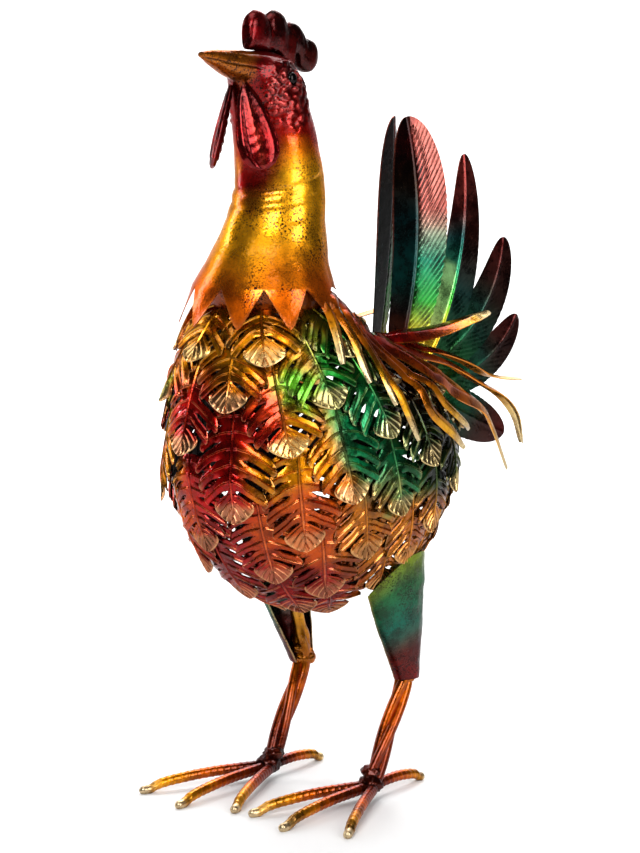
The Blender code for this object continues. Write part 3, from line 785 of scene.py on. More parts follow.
@dataclass
class LeafPattern:
    """The pressed leaf, flat: five lobes a side with doubled ribs, and a veined shield at the tip."""

    seed: int
    length: float = 84.0
    lobe_reaches: Floats = (25.5, 30.5, 32.5, 31.0, 27.0)

    NEAR = (0.0, 0.55, 1.1, 2.6, 5.2, 8.4)
    RIB_HEIGHTS = (0.85, 0.5, 0.0)
    FAR = (0.08, 0.22, 0.38, 0.54, 0.7, 0.85, 0.95, 1.0)
    ACROSS = (0.0, 0.08, 0.3, 0.405, 0.45, 0.5, 0.55, 0.595, 0.7, 0.92, 1.0)
    RELIEF = (-0.8, 0.0, -0.05, 0.0, 0.75, 0.1, 0.75, 0.0, -0.05, 0.0, -0.8)
    # Painted shade across a lobe: darkest at the rolled edges and in the valley between the doubled ribs.
    STAIN = (1.0, 0.15, 0.0, 0.45, 0.0, 0.75, 0.0, 0.45, 0.0, 0.15, 1.0)
    OUTLINE = (
        (0.0, 0.0), (3.6, 0.8), (8.0, 3.0), (12.0, 5.9), (14.4, 8.2), (15.4, 10.4), (15.5, 12.6)
    )
    SHIELD_COLUMNS = (0.0, 0.035, 0.07, 0.20, 0.34, 0.48, 0.62, 0.76, 0.88, 0.955, 1.0)
    SHIELD_ROWS = (
        0.0, 0.06, 0.12, 0.155, 0.19, 0.27, 0.345, 0.38, 0.415, 0.49, 0.565, 0.60, 0.635, 0.71, 0.785, 0.82,
        0.855, 0.93, 1.0,
    )
    SHIELD_VEINS = (0.155, 0.38, 0.60, 0.82)
    SHIELD_CORNER = 14.6
    VEIN_HEIGHT = 0.85
    LOBE_RIB_HEIGHT = 0.75

    def lines(self, chance: np.random.Generator) -> list[LobeLine]:
        """Return the lines between the lobes, from the shield up."""
        wobble = chance.uniform(-1, 1, 8)
        return [
            LobeLine(25.0, 0.60, 0.0050, 2.6, 3.4, 0.0, 0.06),
            LobeLine(36.0 + wobble[0] * 0.6, 0.36, 0.0085, 10.5 + 2 * wobble[1], 3.3),
            LobeLine(47.5 + wobble[2] * 0.6, 0.18, 0.0105, 11.5 + 2 * wobble[3], 3.2),
            LobeLine(59.5 + wobble[4] * 0.6, 0.05, 0.0120, 12.0 + 2 * wobble[5], 3.0),
            LobeLine(71.5 + wobble[6] * 0.6, -0.05, 0.0130, 12.0 + 2 * wobble[7], 2.8),
            LobeLine(self.length, -0.10, 0.0135, 30.0, 0.0),
        ]

    def half(self) -> Shape:
        """Return the leaf's right half, flat, in millimetres, with the relief as the third axis.

        Returns:
            The open half.
        """
        chance = np.random.default_rng(self.seed)
        lines = self.lines(chance)
        shape = self.shield(lines[0])
        for place, (low, high) in enumerate(zip(lines, lines[1:])):
            reach = self.lobe_reaches[place] + chance.uniform(-1.6, 1.6)
            shape.join(self.lobe(low, high, reach, chance))
        return shape

    def lobe(self, low: LobeLine, high: LobeLine, reach: float, chance: np.random.Generator) -> Shape:
        """Return one lobe.

        Args:
            low: The line below it.
            high: The line above it.
            reach: How far out it ends.
            chance: The leaf's random numbers.

        Returns:
            The lobe.
        """
        across = np.array(self.ACROSS)
        ends = reach * (1 - 0.10 * np.abs(2 * across - 1) ** 2.5)
        near = np.array(self.NEAR)
        far = near[-1] + (ends[:, None] - near[-1]) * np.array(self.FAR)
        x = np.hstack([np.repeat(near[None], len(across), 0), far])
        bottom = low.upper_side(x, reach + 3)
        top = high.lower_side(x, reach + 3)
        v = lerp(bottom, top, across[:, None])
        grown = smooth(1.1, 4.0, x)
        relief = np.array(self.RELIEF)[:, None] * lerp(0.1, 1.0, grown)
        fade = smooth(low.slot - 3, low.slot + 1, x)
        edge_rows = np.isin(across, (0.0, 1.0))[:, None]
        relief = np.where(edge_rows, relief * fade, relief)
        swell = 0.7 * np.sin(math.pi * across)[:, None] * smooth(4, 14, x)
        lift = chance.uniform(-0.9, 1.1) * smooth(8, reach, x)
        tilt = chance.uniform(-0.9, 0.9) * (across[:, None] - 0.5) * smooth(9, reach, x)
        rim = np.zeros_like(x)
        rim[:, -1] = 1
        relief = np.where(rim > 0, -0.35, relief)
        for column, height in enumerate(self.RIB_HEIGHTS[:2]):
            relief[:, column] = height
            swell[:, column] = 0
        masks = np.zeros((*x.shape, 4))
        masks[..., 0] = chance.uniform(0.0, 0.6) * smooth(0.5 * reach, reach, x) ** 1.5
        # The ridge mask paints a highlight on the ribs, the edge mask a highlight at the lobe's end, and the
        # along mask carries painted shade in the valleys and at the edges.
        masks[..., 1] = np.clip(relief / self.LOBE_RIB_HEIGHT, 0, 1)
        masks[:, :2, 1] = 0.45
        masks[..., 2] = rim * 0.5
        masks[..., 3] = np.array(self.STAIN)[:, None] * np.where(edge_rows, fade, grown)
        masks[:, 2, 3] = 0.8
        points = np.stack([x, v, relief + swell + lift + tilt], axis=-1)
        return Shape.grid(points, masks)

    def shield(self, top: LobeLine) -> Shape:
        """Return the veined shield at the leaf's tip.

        Args:
            top: The line between the shield and the lowest lobe.

        Returns:
            The shield.
        """
        rows = np.array(self.SHIELD_ROWS)
        columns = np.array(self.SHIELD_COLUMNS)
        corner = self.SHIELD_CORNER
        corner_height = top.lower_side(np.array([corner]), corner + 3)[0]
        outline = np.array([*self.OUTLINE, (corner, corner_height)])
        run = run_along(outline)
        place = rows**1.25 * run[-1]
        ends = np.stack([np.interp(place, run, outline[:, axis]) for axis in range(2)], axis=1)
        starts = top.start * rows**0.62
        x = ends[:, :1] * columns
        bow = (2.2 * rows * (1 - rows) + 0.6 * rows)[:, None] * 4 * columns * (1 - columns)
        v = lerp(starts[:, None], ends[:, 1:], columns) + bow
        x[-1, :4] = self.NEAR[:4]
        v[-1] = top.lower_side(x[-1], corner + 3)
        relief = np.full_like(x, 0.05)
        for vein in self.SHIELD_VEINS:
            relief[np.isclose(rows, vein)] = self.VEIN_HEIGHT
        relief *= smooth(0.05, 0.22, columns)[None]
        relief[-1] = np.where(x[-1] > 2.7, -0.4, relief[-1])
        relief[:, -2] = 0.45
        relief[:, -1] = -0.15
        for column, height in enumerate(self.RIB_HEIGHTS[:2]):
            relief[:, column] = height * lerp(0.35, 1.0, np.clip(starts / 20, 0, 1))
        dish = -0.9 * np.sin(math.pi * columns)[None] * rows[:, None]
        masks = np.zeros((*x.shape, 4))
        masks[..., 0] = 1 - smooth(9, 22, v + 0.2 * x)
        masks[..., 1] = np.clip(relief / self.VEIN_HEIGHT, 0, 1)
        masks[:, :2, 1] = 0.6
        # Painted highlight along the shield's outline.
        masks[:, -1, 2] = 1
        masks[:, -2, 2] = 0.5
        # Painted shade beside the veins, along the edge to the first lobe and beside the midrib.
        beside = np.array([min(abs(row - vein) for vein in self.SHIELD_VEINS) for row in rows])
        shade_and_grime = np.where(np.isclose(beside, 0.035), 0.42, 0.05)[:, None]
        masks[..., 3] = shade_and_grime * smooth(0.05, 0.2, columns)[None]
        masks[-1, 3:, 3] = 0.9
        masks[:, 2, 3] = 0.5
        masks[:, -1, 3] = 0
        return Shape.grid(np.stack([x, v, relief + dish], axis=-1), masks)

    def whole(self) -> Shape:
        """Return the whole leaf in millimetres.

        Returns:
            The leaf's front face, both halves joined.
        """
        right = self.half()
        left = LeafPattern(self.seed + 50).half().mirrored()
        right.join(left)
        return right.welded()


@dataclass
class Leaves:
    """The rings of leaves. Each ring has its fall, its first place and how many leaves it has."""

    rings: tuple[tuple[float, float, int], ...] = (
        (38.8, 1.35, 8), (54.6, 0.5, 8), (72.0, 1.5, 8), (93.0, 0.5, 8), (110.0, 1.6, 8), (125.0, 0.85, 8),
        (138.5, 1.9, 7), (150.5, 0.9, 6), (162.0, 2.0, 5),
    )
    places_round: int = 16
    anchor: float = 30.0
    base_sink: float = -4.6
    tip_lift: float = 5.6
    side_droop: float = 1.7
    thickness: float = 0.0008
    most_lean: float = 4.5
    nudge: float = 0.02
    patterns: int = 4
    seed: int = 11

    def build(self, material: Material, lining: Material) -> None:
        """Add each ring of leaves.

        Args:
            material: The leaves' lacquer.
            lining: The dark paint of their backs, also a painted shade inside the cage.
        """
        patterns = [LeafPattern(seed).whole() for seed in range(self.patterns)]
        chance = np.random.default_rng(self.seed)
        for number, (fall, first, count) in enumerate(self.rings):
            places = first + self.places_round / count * np.arange(count)
            turns = FORM.turns(places, self.places_round)
            ring = Shape()
            for turn in turns:
                pattern = patterns[int(chance.integers(self.patterns))]
                ring.join(self.laid(pattern, turn, math.radians(fall), chance))
            name = f"leaf_ring_{number + 1}"
            add_piece(name, ring, material, "body_of_leaves", lining=lining)

    def laid(self, pattern: Shape, turn: float, fall: float, chance: np.random.Generator) -> Shape:
        """Return a leaf laid on the egg.

        Args:
            pattern: The flat leaf.
            turn: Its tip's turn.
            fall: Its tip's fall.
            chance: The random numbers for its small differences.

        Returns:
            The closed leaf.
        """
        tip = FORM.surface(turn, fall)
        above = FORM.surface(turn, fall - self.nudge)
        pace = self.nudge / np.linalg.norm(above - tip)
        anchor_fall = fall - pace * self.anchor * MM
        anchor = FORM.surface(turn, anchor_fall)
        normal = FORM.normal(anchor[None])[0]
        up = FORM.surface(turn, anchor_fall - self.nudge) - FORM.surface(turn, anchor_fall + self.nudge)
        up = unit(up - normal * up.dot(normal))
        right = np.cross(up, normal)
        lean = math.radians(chance.uniform(-self.most_lean, self.most_lean))
        cosine, sine = math.cos(lean), math.sin(lean)
        up, right = up * cosine + right * sine, right * cosine - up * sine
        size = chance.uniform(0.96, 1.04) * MM
        x, v, relief = pattern.points.T
        flat = anchor + right * (x * size)[:, None] + up * ((v - self.anchor) * size)[:, None]
        ground = FORM.project(flat)
        out = FORM.normal(ground)
        lift = (self.tip_lift + chance.uniform(-0.7, 0.9)) * (1 - 0.35 * float(smooth(1.7, 2.2, fall)))
        rise = lerp(self.base_sink, lift, (1 - v / LeafPattern.length).clip(0, 1) ** 1.3)
        rise = rise + 1.3 * (1 - v / 13).clip(0, 1) ** 2 - self.side_droop * (x / 30) ** 2
        rise = rise + chance.uniform(-0.5, 0.5) * x / 15
        points = ground + out * ((rise + relief) * MM)[:, None]
        masks = pattern.masks.copy()
        masks[:, 0] *= chance.uniform(0.75, 1.0)
        return Shape(points, pattern.faces, masks).thickened(self.thickness)


# ---- neck, head, eyes and beak


@dataclass
class NeckAndHead:
    """The hollow neck with its toothed collar, the face, the beak and the eyes.

    The sections give front Y, front Z, back Y, back Z and half width. A crease is given by its share
    of the full depth, its height, its tilt and the Y of its front and back end. The face, the nostril
    and the corner of the mouth are given by Y and Z. A fade is where a form starts and is full.
    """

    sections: tuple[Floats, ...] = (
        (-0.122, 0.400, -0.023, 0.400, 0.055),
        (-0.112, 0.418, -0.0225, 0.418, 0.046),
        (-0.098, 0.440, -0.0210, 0.440, 0.0395),
        (-0.0865, 0.476, -0.0185, 0.476, 0.0335),
        (-0.0895, 0.505, -0.0255, 0.505, 0.0315),
        (-0.094, 0.527, -0.033, 0.530, 0.0290),
        (-0.099, 0.541, -0.0415, 0.556, 0.0255),
        (-0.101, 0.547, -0.060, 0.569, 0.0215),
        (-0.104, 0.550, -0.092, 0.5715, 0.0150),
        (-0.114, 0.5525, -0.114, 0.5725, 0.0108),
        (-0.130, 0.5595, -0.131, 0.572, 0.0070),
        (-0.142, 0.5655, -0.143, 0.5705, 0.0034),
    )
    sides: int = 120
    teeth: int = 10
    tooth_rows: int = 9
    tooth_reach: float = 0.031
    flare: float = 0.010
    blunt: float = 0.92
    rear_share: float = 0.12
    eye: Point = (0.0235, -0.067, 0.551)
    eye_radius: float = 0.0052
    cheek_fade: Pair = (0.006, 0.014)
    face: Pair = (-0.069, 0.539)
    face_fade: Pair = (0.019, 0.025)
    socket_depth: float = 0.0022
    socket_fade: Pair = (0.004, 0.0075)
    lid: float = 0.0078
    lid_width: float = 0.0016
    lid_height: float = 0.0011
    pebble: float = 0.0042
    pebble_height: float = 0.0013
    brow_level: float = 0.5625
    brow_slope: float = 0.10
    brow_width: float = 0.0026
    brow_height: float = 0.0016
    brow_fades: tuple[Pair, Pair] = ((-0.094, -0.084), (-0.052, -0.044))
    beak_fade: Pair = (-0.103, -0.094)
    mouth_corner: Pair = (-0.092, 0.5585)
    mouth_slope: float = 0.14
    mouth_width: float = 0.0008
    mouth_depth: float = 0.0010
    mouth_fades: tuple[Pair, Pair] = ((-0.097, -0.090), (0.0008, 0.003))
    nostril: Pair = (-0.113, 0.5665)
    nostril_width: float = 0.0019
    nostril_depth: float = 0.0011
    nostril_fade: Pair = (0.002, 0.005)
    creases: tuple[Floats, ...] = (
        (1.0, 0.478, 0.28, -0.10, -0.03), (0.9, 0.466, 0.20, -0.10, -0.045), (0.6, 0.452, 0.12, -0.09, -0.05)
    )
    crease_middle: float = -0.05
    crease_width: float = 0.0026
    crease_depth: float = 0.0009
    crease_end: float = 0.015
    dent_scale: float = 55.0
    dent_depth: float = 0.0006
    dent_fade: Pair = (0.40, 0.42)
    mask_heights: Pair = (0.37, 0.575)

    def rings(self) -> Array:
        """Return the smooth sections between the measured ones.

        Returns:
            Rows with the five columns of a section.
        """
        table = np.array(self.sections)
        run = run_along(table[:, :4])
        fine = np.interp(np.linspace(0, 1, 176), (0, 0.32, 0.86, 1), (0, run[3], run[8], run[-1]))
        return np.stack([self.spline(run, table[:, column], fine) for column in range(5)], axis=1)

    @staticmethod
    def spline(run: Array, values: Array, fine: Array) -> Array:
        """Return values on a curve that keeps the measured ones and never overshoots them.

        Args:
            run: Where the measured values stand.
            values: The measured values.
            fine: Where values are wanted.

        Returns:
            The values there.
        """
        steps = np.diff(values) / np.diff(run)
        tangents = np.concatenate([[steps[0]], (steps[1:] + steps[:-1]) / 2, [steps[-1]]])
        tangents[1:-1] = np.where(steps[1:] * steps[:-1] <= 0, 0, tangents[1:-1])
        place = np.clip(np.searchsorted(run, fine, side="right") - 1, 0, len(run) - 2)
        width = run[place + 1] - run[place]
        share = (fine - run[place]) / width
        squared, cubed = share**2, share**3
        return (
            (2 * cubed - 3 * squared + 1) * values[place]
            + (cubed - 2 * squared + share) * width * tangents[place]
            + (3 * squared - 2 * cubed) * values[place + 1]
            + (cubed - squared) * width * tangents[place + 1]
        )

    def skin(self) -> tuple[Array, Array]:
        """Return the grid of points from the collar to the beak, and their angles.

        Returns:
            The grid, and the angle of each column.
        """
        angles = 2 * math.pi * np.arange(self.sides) / self.sides
        rows = []
        for front_y, front_z, back_y, back_z, half in self.rings():
            front = np.array([0, front_y, front_z])
            back = np.array([0, back_y, back_z])
            middle, reach = (front + back) / 2, (back - front) / 2
            ring = middle - np.outer(np.cos(angles), reach) + np.outer(np.sin(angles), [half, 0, 0])
            rows.append(ring)
        return np.array(rows), angles

    def collar(self, ring: Array, angles: Array) -> Array:
        """Return the rows of the toothed collar below the neck's lowest ring.

        Args:
            ring: The neck's lowest ring.
            angles: The angle of each of its points.

        Returns:
            The rows, from the tips up.
        """
        middle = ring.mean(0)
        out = unit((ring - middle) * (1, 1, 0))
        rear = np.clip(0.5 + 1.4 * out[:, 1], 0, 1)
        size = lerp(1.0, self.rear_share, rear)
        wave = np.abs(((angles * self.teeth / (2 * math.pi)) % 1) - 0.5) * 2
        tooth = np.minimum((1 - wave) ** 1.12, self.blunt)
        rows = []
        for row in range(self.tooth_rows, 0, -1):
            share = (row / self.tooth_rows) * tooth * size
            curl = 1 + 0.12 * (row / self.tooth_rows) ** 2
            points = ring + out * (self.flare * curl * share)[:, None]
            points[:, 2] -= self.tooth_reach * share
            rows.append(FORM.clear(points, OVER_LEAVES))
        return np.array(rows)

    def dress(self, points: Array, normals: Array, masks: Array) -> Array:
        """Return the skin with its face, brow, mouth line and creases.

        Args:
            points: Grid of points.
            normals: Grid of outward directions.
            masks: Grid of masks, which this fills in.

        Returns:
            The grid of moved points.
        """
        flat = points.reshape(-1, 3)
        x, y, z = np.abs(flat[:, 0]), flat[:, 1], flat[:, 2]
        push = np.zeros(len(flat))
        eye = np.array(self.eye)
        away = np.hypot(y - eye[1], (z - eye[2]) * 1.1)
        side = smooth(*self.cheek_fade, x)
        from_face = np.hypot(y - self.face[0], (z - self.face[1]) * 0.85)
        face = (1 - smooth(*self.face_fade, from_face)) * side
        socket = (1 - smooth(*self.socket_fade, away)) * side
        lid = soft_ridge(away - self.lid, self.lid_width) * side
        push -= self.socket_depth * socket
        push += self.lid_height * lid
        lumps = np.zeros(len(flat))
        for place in np.flatnonzero(face > 0.02):
            distance = noise.voronoi(Vector(flat[place] / self.pebble), distance_metric="DISTANCE")[0]
            lumps[place] = math.sqrt(max(0.0, 1 - (distance[0] / 0.55) ** 2))
        push += self.pebble_height * lumps * face * (1 - socket)
        brow = soft_ridge(z - self.brow_level - self.brow_slope * (y - eye[1]), self.brow_width)
        front, rear = self.brow_fades
        brow *= smooth(*front, y) * (1 - smooth(*rear, y)) * side
        push += self.brow_height * brow
        beak = 1 - smooth(*self.beak_fade, y)
        corner, edge = self.mouth_fades
        mouth_level = self.mouth_corner[1] + (self.mouth_corner[0] - y) * self.mouth_slope
        mouth = soft_ridge(z - mouth_level, self.mouth_width) * (1 - smooth(*corner, y))
        mouth *= smooth(*edge, x)
        push -= self.mouth_depth * mouth
        away = np.hypot(y - self.nostril[0], (z - self.nostril[1]) * 1.6)
        nostril = soft_ridge(away, self.nostril_width) * smooth(*self.nostril_fade, x)
        push -= self.nostril_depth * nostril
        crease = np.zeros(len(flat))
        for depth, height, tilt, front, back in self.creases:
            line = soft_ridge(z - height - tilt * (y - self.crease_middle), self.crease_width)
            start, end = front + self.crease_end, back - self.crease_end
            crease += depth * line * smooth(front, start, y) * (1 - smooth(end, back, y))
        push -= self.crease_depth * crease
        dents = np.array([noise.noise(Vector(point * self.dent_scale)) for point in flat])
        push += self.dent_depth * dents * smooth(*self.dent_fade, z) * (1 - beak)
        marks = masks.reshape(-1, 4)
        # The ridge mask paints a highlight on the beads, the lid and the brow.
        marks[:, 1] = np.clip(np.maximum(lumps * face * 0.95, lid * 0.15), 0, 1)
        marks[:, 1] = np.maximum(marks[:, 1], brow * 0.3)
        # The tip mask paints shade: the mouth line, the nostrils, the eye socket, the creases and the gaps
        # between the beads darken.
        shade_between_beads = face * (1 - lumps) * 0.8
        marks[:, 0] = np.clip(mouth + nostril + socket * 0.9 + crease * 0.3 + shade_between_beads, 0, 1)
        return (flat + normals.reshape(-1, 3) * push[:, None]).reshape(points.shape)

    def build(self, skin_finish: Material, eye_finish: Material) -> None:
        """Add the neck, the head and the eyes.

        Args:
            skin_finish: The neck's lacquer.
            eye_finish: The eyes' lacquer.
        """
        grid, angles = self.skin()
        grid = np.concatenate([self.collar(grid[0], angles), grid])
        masks = np.zeros((*grid.shape[:2], 4))
        low, high = self.mask_heights
        masks[..., 3] = (grid[..., 2] - low) / (high - low)
        # The edge mask paints a highlight along the collar's tips.
        masks[0, :, 2] = 1
        masks[1, :, 2] = 0.35
        shape = Shape.grid(grid, masks, wrap=True)
        normals = shape.normals().reshape(grid.shape)
        if normals[self.tooth_rows, self.sides // 4, 0] < 0:
            normals = -normals
        grid = self.dress(grid, normals, masks)
        shape = Shape.grid(grid, masks, wrap=True).welded()
        sleeve = self.sleeve(grid[self.tooth_rows])
        middle = grid[-1].mean(0) + np.array([0, -0.0006, 0])
        shape.points = np.vstack([shape.points, middle])
        shape.masks = np.vstack([shape.masks, masks[-1].mean(0)])
        last = [int(np.argmin(np.linalg.norm(shape.points[:-1] - point, axis=1))) for point in grid[-1]]
        for start, end in zip(last, last[1:] + last[:1]):
            if start != end:
                shape.faces.append((start, end, len(shape.points) - 1))
        shape = shape.facing_out(int(np.argmax(shape.points[:, 0])))
        closed = shape.thickened(PRESSED_SHEET)
        closed.join(sleeve.thickened(PRESSED_SHEET))
        add_piece("neck_and_head", closed, skin_finish, "head_and_neck", 50)
        add_pair("eye_{}", self.eyeball(), eye_finish, "head_and_neck", 60)

    def sleeve(self, ring: Array) -> Shape:
        """Return the dark sleeve that joins the neck's foot to the body inside the collar; its near-black is
        painted shade.

        Args:
            ring: The neck's lowest ring.

        Returns:
            The open sleeve.
        """
        middle = ring.mean(0)
        upper = middle + (ring - middle) * 0.95 + (0, 0, 0.004)
        lower = FORM.project(middle + (ring - middle) * 0.93) - (0, 0, 0.004)
        rows = np.array([lerp(lower, upper, share) for share in np.linspace(0, 1, 4)])
        masks = np.zeros((*rows.shape[:2], 4))
        # The tip mask gives the sleeve the neck's near-black tip colour: painted shade inside the collar.
        masks[..., 0] = 1
        return Shape.grid(rows, masks, wrap=True)

    def eyeball(self) -> Shape:
        """Return the left eye: a domed bead.

        Returns:
            The closed bead.
        """
        rows, masks = [], []
        rings, sides = 13, 24
        for row in range(1, rings):
            polar = math.pi * row / rings
            ring = []
            for step in range(sides):
                turn = 2 * math.pi * step / sides
                round_y, round_z = math.sin(polar) * math.cos(turn), math.sin(polar) * math.sin(turn)
                out = np.array([math.cos(polar) * 0.75, round_y, round_z])
                ring.append(np.array(self.eye) + (-0.0012, 0, 0) + out * self.eye_radius)
            rows.append(ring)
            masks.append([[0, 0, 0, row / rings]] * sides)
        return Shape.grid(np.array(rows), np.array(masks, float), wrap=True, caps=True)


# ---- comb and wattles


@dataclass
class Comb:
    """The puffy comb: four round lobes with a thin seam round their outline."""

    lobes: tuple[Point, ...] = (
        (-0.0800, 0.5885, 0.0120),
        (-0.0585, 0.5885, 0.0122),
        (-0.0385, 0.5800, 0.0122),
        (-0.0210, 0.5680, 0.0126),
    )
    half_thickness: float = 0.0075
    stations: int = 84
    sides: int = 40
    crown_gap: float = 0.0008
    seam: float = 0.0008
    dent_depth: float = 0.0007
    crown: Pairs = (
        (-0.114, 0.5725), (-0.092, 0.5715), (-0.060, 0.569), (-0.0415, 0.556), (-0.033, 0.530)
    )

    def build(self, finish: Material) -> None:
        """Add the comb.

        Args:
            finish: The comb's lacquer.
        """
        front = self.lobes[0][0] - self.lobes[0][2]
        rear = self.lobes[-1][0] + self.lobes[-1][2]
        rows, masks = [], []
        for station in range(self.stations):
            share = 0.5 - 0.5 * math.cos(math.pi * (0.02 + 0.96 * station / (self.stations - 1)))
            y = lerp(front, rear, share)
            spans = [(z, math.sqrt(r * r - (y - c) ** 2), r) for c, z, r in self.lobes if abs(y - c) < r]
            top = max(z + span for z, span, _ in spans)
            low = min(z - span for z, span, _ in spans)
            if y < self.crown[3][0]:
                low = float(np.interp(y, *np.array(self.crown).T)) + self.crown_gap
            fullest = max(span / r for _, span, r in spans)
            half = (top - low) / 2
            puff = self.half_thickness * min(1.0, math.sqrt(half / 0.012)) * lerp(0.45, 1.0, fullest**0.8)
            ring, marks = [], []
            for side in range(self.sides):
                angle = 2 * math.pi * side / self.sides
                wide = abs(math.cos(angle)) ** 0.72 * math.copysign(1, math.cos(angle))
                rim = max(0.0, 1 - abs(math.sin(angle) - 1) / 0.012)
                x = puff * wide
                z = (top + low) / 2 + half * math.sin(angle)
                dent = noise.noise(Vector((x * 90, y * 140, z * 140)))
                ring.append((x + self.dent_depth * dent * wide, y, z + self.seam * rim))
                # The tip mask paints shade in the dents, the ridge mask a highlight on the lobes' broad
                # sides.
                marks.append((max(0, -dent) * 0.5, max(0.0, abs(wide) - 0.55) * fullest, rim, share))
            rows.append(ring)
            masks.append(marks)
        shape = Shape.grid(np.array(rows), np.array(masks), wrap=True, caps=True)
        add_piece("comb_lobes", shape, finish, "comb", 60)


@dataclass
class Wattles:
    """The two teardrop wattles, each with a pinched flange round a puffed middle."""

    length: float = 0.063
    width: float = 0.031
    thickness: float = 0.0085
    top: Point = (0.0062, -0.1020, 0.5465)
    splay: float = math.radians(17)
    groove: float = -0.42
    turn: float = math.radians(47)
    ripple: float = 0.0005
    shares: Floats = (0.0, 0.12, 0.30, 0.50, 0.68, 0.84, 0.95, 1.0)
    width_shares: Floats = (0.14, 0.42, 0.70, 0.90, 1.0, 0.92, 0.60, 0.22)
    thickness_shares: Floats = (0.35, 0.6, 0.8, 0.95, 1.0, 0.9, 0.6, 0.3)
    stations: int = 46
    sides: int = 36

    def build(self, finish: Material) -> None:
        """Add both wattles.

        Args:
            finish: The wattles' lacquer.
        """
        down = np.array([math.sin(self.splay), 0, -math.cos(self.splay)])
        flat = np.array([math.cos(self.turn), math.sin(self.turn), 0])
        flat = unit(flat - down * flat.dot(down))
        face = np.cross(down, flat)
        rows, masks = [], []
        for share in np.sin(np.linspace(0, 1, self.stations) * math.pi / 2):
            width = float(np.interp(share, self.shares, self.width_shares))
            thickness = float(np.interp(share, self.shares, self.thickness_shares))
            ring, marks = [], []
            for step in range(self.sides):
                angle = 2 * math.pi * step / self.sides
                across = math.cos(angle)
                flange = smooth(0.78, 0.88, abs(across))
                groove = math.exp(-(((across - self.groove) / 0.13) ** 2)) * float(smooth(0.05, 0.2, share))
                puffed = math.sin(angle) * lerp(1.0, 0.45, flange) * (1 - 0.55 * groove)
                wave = math.sin(share * 60 + across * 5) * (1 - abs(across))
                ripple = self.ripple * wave * (1 if angle > math.pi else 0.3)
                depth = puffed * thickness * self.thickness / 2 + ripple * math.copysign(1, puffed)
                place = np.array(self.top) + down * (share * self.length)
                place = place + flat * (across * width * self.width / 2)
                ring.append(place + face * depth)
                # The tip mask paints shade in the groove, the ridge mask a highlight on the puffed middle
                # and the edge mask a highlight on the flange.
                marks.append((groove, (1 - abs(across)) ** 2 * 0.7, float(flange) * 0.5, share))
            rows.append(ring)
            masks.append(marks)
        shape = Shape.grid(np.array(rows), np.array(masks), wrap=True, caps=True)
        add_pair("wattle_drop_{}", shape, finish, "wattle_{}", 50)


# ---- tail


